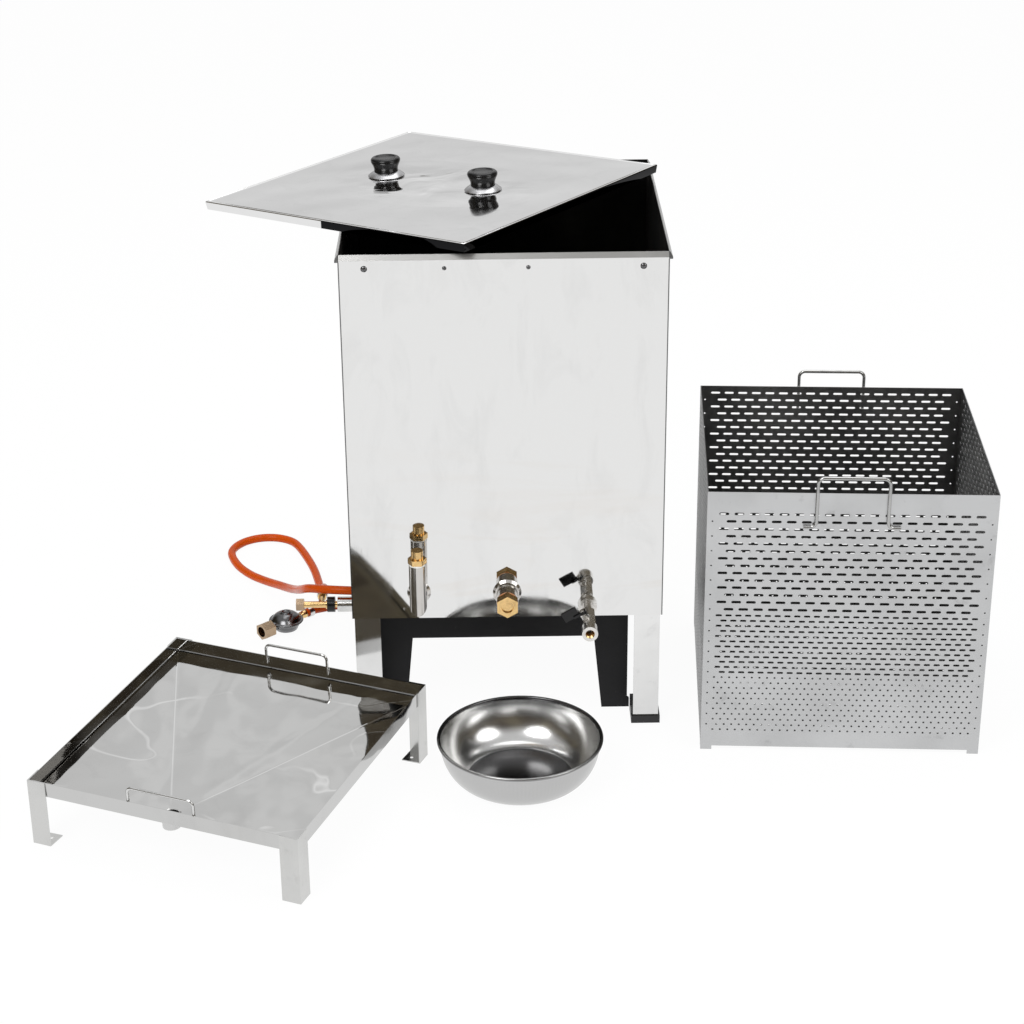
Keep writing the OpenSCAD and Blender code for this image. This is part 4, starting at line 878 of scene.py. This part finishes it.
def makeTrayFloor():
    halfX = tray["wide"] / 2 - tray["sheet"]
    halfY = tray["long"] / 2 - tray["sheet"]
    drainY = -halfY + tray["drainIn"]
    level = -tray["deep"] + tray["sheet"]

    def fromDrain(point):
        return math.hypot(point[0], point[1] - drainY)

    def height(x, y):
        along = y - drainY
        room = halfY - drainY if along > 0 else halfY + drainY
        toWall = min(halfX / max(1e-6, abs(x)), room / max(1e-6, abs(along)))
        share = held(1.0 / max(1.0, toWall))         # 0 at the drain, 1 at the walls
        fold = sum(sign * math.exp(-((x - lean * along - offset) / wide) ** 2)
                   for sign, lean, offset, wide in tray["foldLines"])
        waves = noise.noise(Vector((x * 11.0, y * 5.0, 2.2)))
        waves += 0.5 * noise.noise(Vector((x * 24.0, y * 11.0, 5.5)))
        hold = min(1.0, (1.0 - share) / tray["edgeFade"])
        hold *= held((fromDrain((x, y)) - tray["flatDrain"]) / tray["drainFade"])
        return level - tray["fall"] * (1.0 - share) + hold * (tray["wave"] * waves + tray["fold"] * fold)

    points, quads = sheetGrid(halfX, halfY, tray["cells"], height)
    faces = [quad for quad in quads if all(fromDrain(points[k]) > tray["drain"] for k in quad)]
    used = {edge: True for face in faces for edge in zip(face, face[1:] + face[:1])}
    ring = [(a, b) for a, b in used if (b, a) not in used and fromDrain(points[a]) < tray["drainRing"]]
    nextOf = dict(ring)
    order = [ring[0][0]]
    while nextOf[order[-1]] != order[0]:
        order.append(nextOf[order[-1]])
    fresh = list(range(len(points), len(points) + len(order)))
    for k in order:                              # a round mouth inside the stepped hole
        a = math.atan2(points[k][1] - drainY, points[k][0])
        x, y = tray["drain"] * math.cos(a), drainY + tray["drain"] * math.sin(a)
        points.append((x, y, level - tray["fall"] + 0.0002))
    faces += bridge(order, fresh)
    piece = addMesh("trayFloorSheet", points, faces, True, trayPlace())
    thicken(piece, tray["sheet"])
    finishPiece(piece, "tray", "polished_steel", finishes["trayFloor"], "tray_floor")


makeTrayFloor()
print("tray floor creased")


# thread inside the drain valve's end
thread = {
    "at": Vector((0.115, 0.0, 0.196)) - setPlace, "mouth": 0.090, "inset": 0.0004, "deep": 0.0135,
    "pitch": 0.0016, "wide": 0.00655, "root": 0.0001, "crest": 0.0008, "skin": 0.00002,
}


def makeThread():
    pitch = thread["pitch"]
    root, crest, skin = (thread["wide"] - thread[k] for k in ("root", "crest", "skin"))
    turns = int(thread["deep"] / pitch)
    profile = []
    for k in range(turns):
        z = k * pitch
        profile += [(root, z), (crest, z + pitch * 0.45), (crest, z + pitch * 0.55)]
    profile += [(root, turns * pitch), (skin, turns * pitch), (skin, 0.0)]
    mouth = thread["at"] + Vector((0, -thread["mouth"] + thread["inset"], 0))
    piece = lathe("valveThread", profile, 64, Matrix.Translation(mouth) @ turned(-90, "X"), True)
    creaseShade(piece, 30)
    finishPiece(piece, "tank", "yellow_brass", finishes["brass"])


makeThread()
print("valve thread cut")


# finishes on the solids that stay
nodeFinish = {
    "tankSheet": "tank_front tank_back tank_left tank_right tank_floor",
    "trayWall": "tray_walls",
    "trayLeg": "tray_legs",
    "spout": "tray_spout",
    "leg": "leg_front_left leg_front_right leg_back_left leg_back_right",
    "pipe": "filler_elbow outlet_stub",
    "basket": "basket_tabs",
    "wire": "basket_grip_front basket_grip_back",
    "trayWire": "tray_grip_front tray_grip_back",
    "plating": "drain_ring drain_nipple drain_locknut valve_body valve_end valve_ball valve_stem packing_nut "
               "lever_screw",
    "brass": "filler_plug outlet_plug gas_inlet",
    "knob": "drain_lever air_shutter",
    "foot": "leg_feet",
    "sealWhite": "filler_seal valve_seats",
    "sealRed": "outlet_seal",
    "stove": "stool_frame pot_supports burner_straps",
    "cast": "burner_body burner_cap",
    "zinc": "mixing_tube hose_clips knob_screws",
    "regulator": "rim_rivets",
    "bronze": "regulator_nut inlet_nut",
}
for key, names in nodeFinish.items():
    for name in names.split():
        for spot in nodes[name].material_slots:
            spot.material = finishes[key]
print("solids finished")


# stage: white floor, soft lamps, a pale wall behind and a dim brown room in front
stage = {
    "floor": 16.0, "white": (0.96, 0.96, 0.96), "glow": 0.955, "plain": 0.62,
    "wallLow": 0.52, "wallHigh": 0.98, "wallLines": 1.15, "ceiling": 0.72,
    "room": (0.070, 0.056, 0.040), "patch": (0.20, 0.17, 0.115),
    "lamps": [                                   # name, place, aim, size, power
        ("keyLamp", (-1.6, -2.4, 2.9), (0.0, 0.1, 0.3), 2.0, 62.0),
        ("fillLamp", (2.4, -1.6, 2.2), (0.1, 0.1, 0.3), 2.0, 30.0),
        ("topLamp", (0.2, 0.8, 3.2), (0.0, 0.1, 0.3), 2.7, 34.0)],
}


def backdropSeen(f):
    rays = ("Is Camera Ray", "Is Glossy Ray", "Is Transmission Ray")
    seen = [f.add("ShaderNodeLightPath", {}, {}, ray) for ray in rays]
    return seen[0], seen[0].math("MAXIMUM", seen[1]).math("MAXIMUM", seen[2])


def makeFloor():
    s = stage["floor"]
    floor = addMesh("floor", [(-s, -s, 0), (s, -s, 0), (s, s, 0), (-s, s, 0)], [(0, 1, 2, 3)], False)
    f = Finish("white floor")
    seen = backdropSeen(f)[1]
    plain = f.add("ShaderNodeBsdfDiffuse", {}, {"Color": (*stage["white"], 1.0)})
    glow = f.add("ShaderNodeEmission", {}, {"Color": (1.0, 1.0, 1.0, 1.0), "Strength": 1.0})
    mixed = f.add("ShaderNodeMixShader", {}, {0: seen * stage["glow"], 1: plain, 2: glow})
    f.add("ShaderNodeOutputMaterial", {}, {"Surface": mixed})
    floor.data.materials.append(f.material)


def makeLamp(name, at, aim, size, power):
    data = bpy.data.lights.new(name, "AREA")
    data.shape = "DISK"
    data.size = size
    data.energy = power
    lamp = addObject(name, data)
    lamp.location = at
    lamp.rotation_euler = (Vector(aim) - Vector(at)).to_track_quat("-Z", "Y").to_euler()


def makeWorld():
    f = Finish("pale room", "worlds", "Generated")
    camera, seen = backdropSeen(f)
    x, y, z = (f.axis(name) for name in "XYZ")
    flat = (x * x + y * y + 0.0001) ** 0.5
    side = x / flat
    behind = (y / flat).above(0.62, 0.90) * z.above(-0.02, 0.03)
    rise = z.above(0.10, 0.62) * 0.75 + side.above(-0.55, 0.55) * 0.25
    strips = side.streak(-0.16, 0.008, 0.020) + side.streak(0.27, 0.006, 0.016)
    lines = strips.math("MAXIMUM", z.streak(0.52, 0.008, 0.022)) * 0.30
    wall = f.blend(rise, grey(stage["wallLow"]), grey(stage["wallHigh"]))
    wall = f.blend(lines, wall, grey(stage["wallLines"]))
    patches = f.noise(2.6, 3.0, 0.6).above(0.46, 0.66)
    room = f.blend(patches, stage["room"], stage["patch"])
    front = f.blend(z.above(0.52, 0.80), room, grey(stage["ceiling"]))
    mirrored = f.blend(behind, front, wall)
    colour = f.blend(camera, f.blend(seen, grey(stage["plain"]), mirrored), grey(1.0))
    back = f.add("ShaderNodeBackground", {}, {"Color": colour, "Strength": 1.0})
    f.add("ShaderNodeOutputWorld", {}, {"Surface": back})
    bpy.context.scene.world = f.material


makeFloor()
makeWorld()
for lamp in stage["lamps"]:
    makeLamp(*lamp)
bpy.context.scene.view_settings.view_transform = "Standard"
print("stage set")
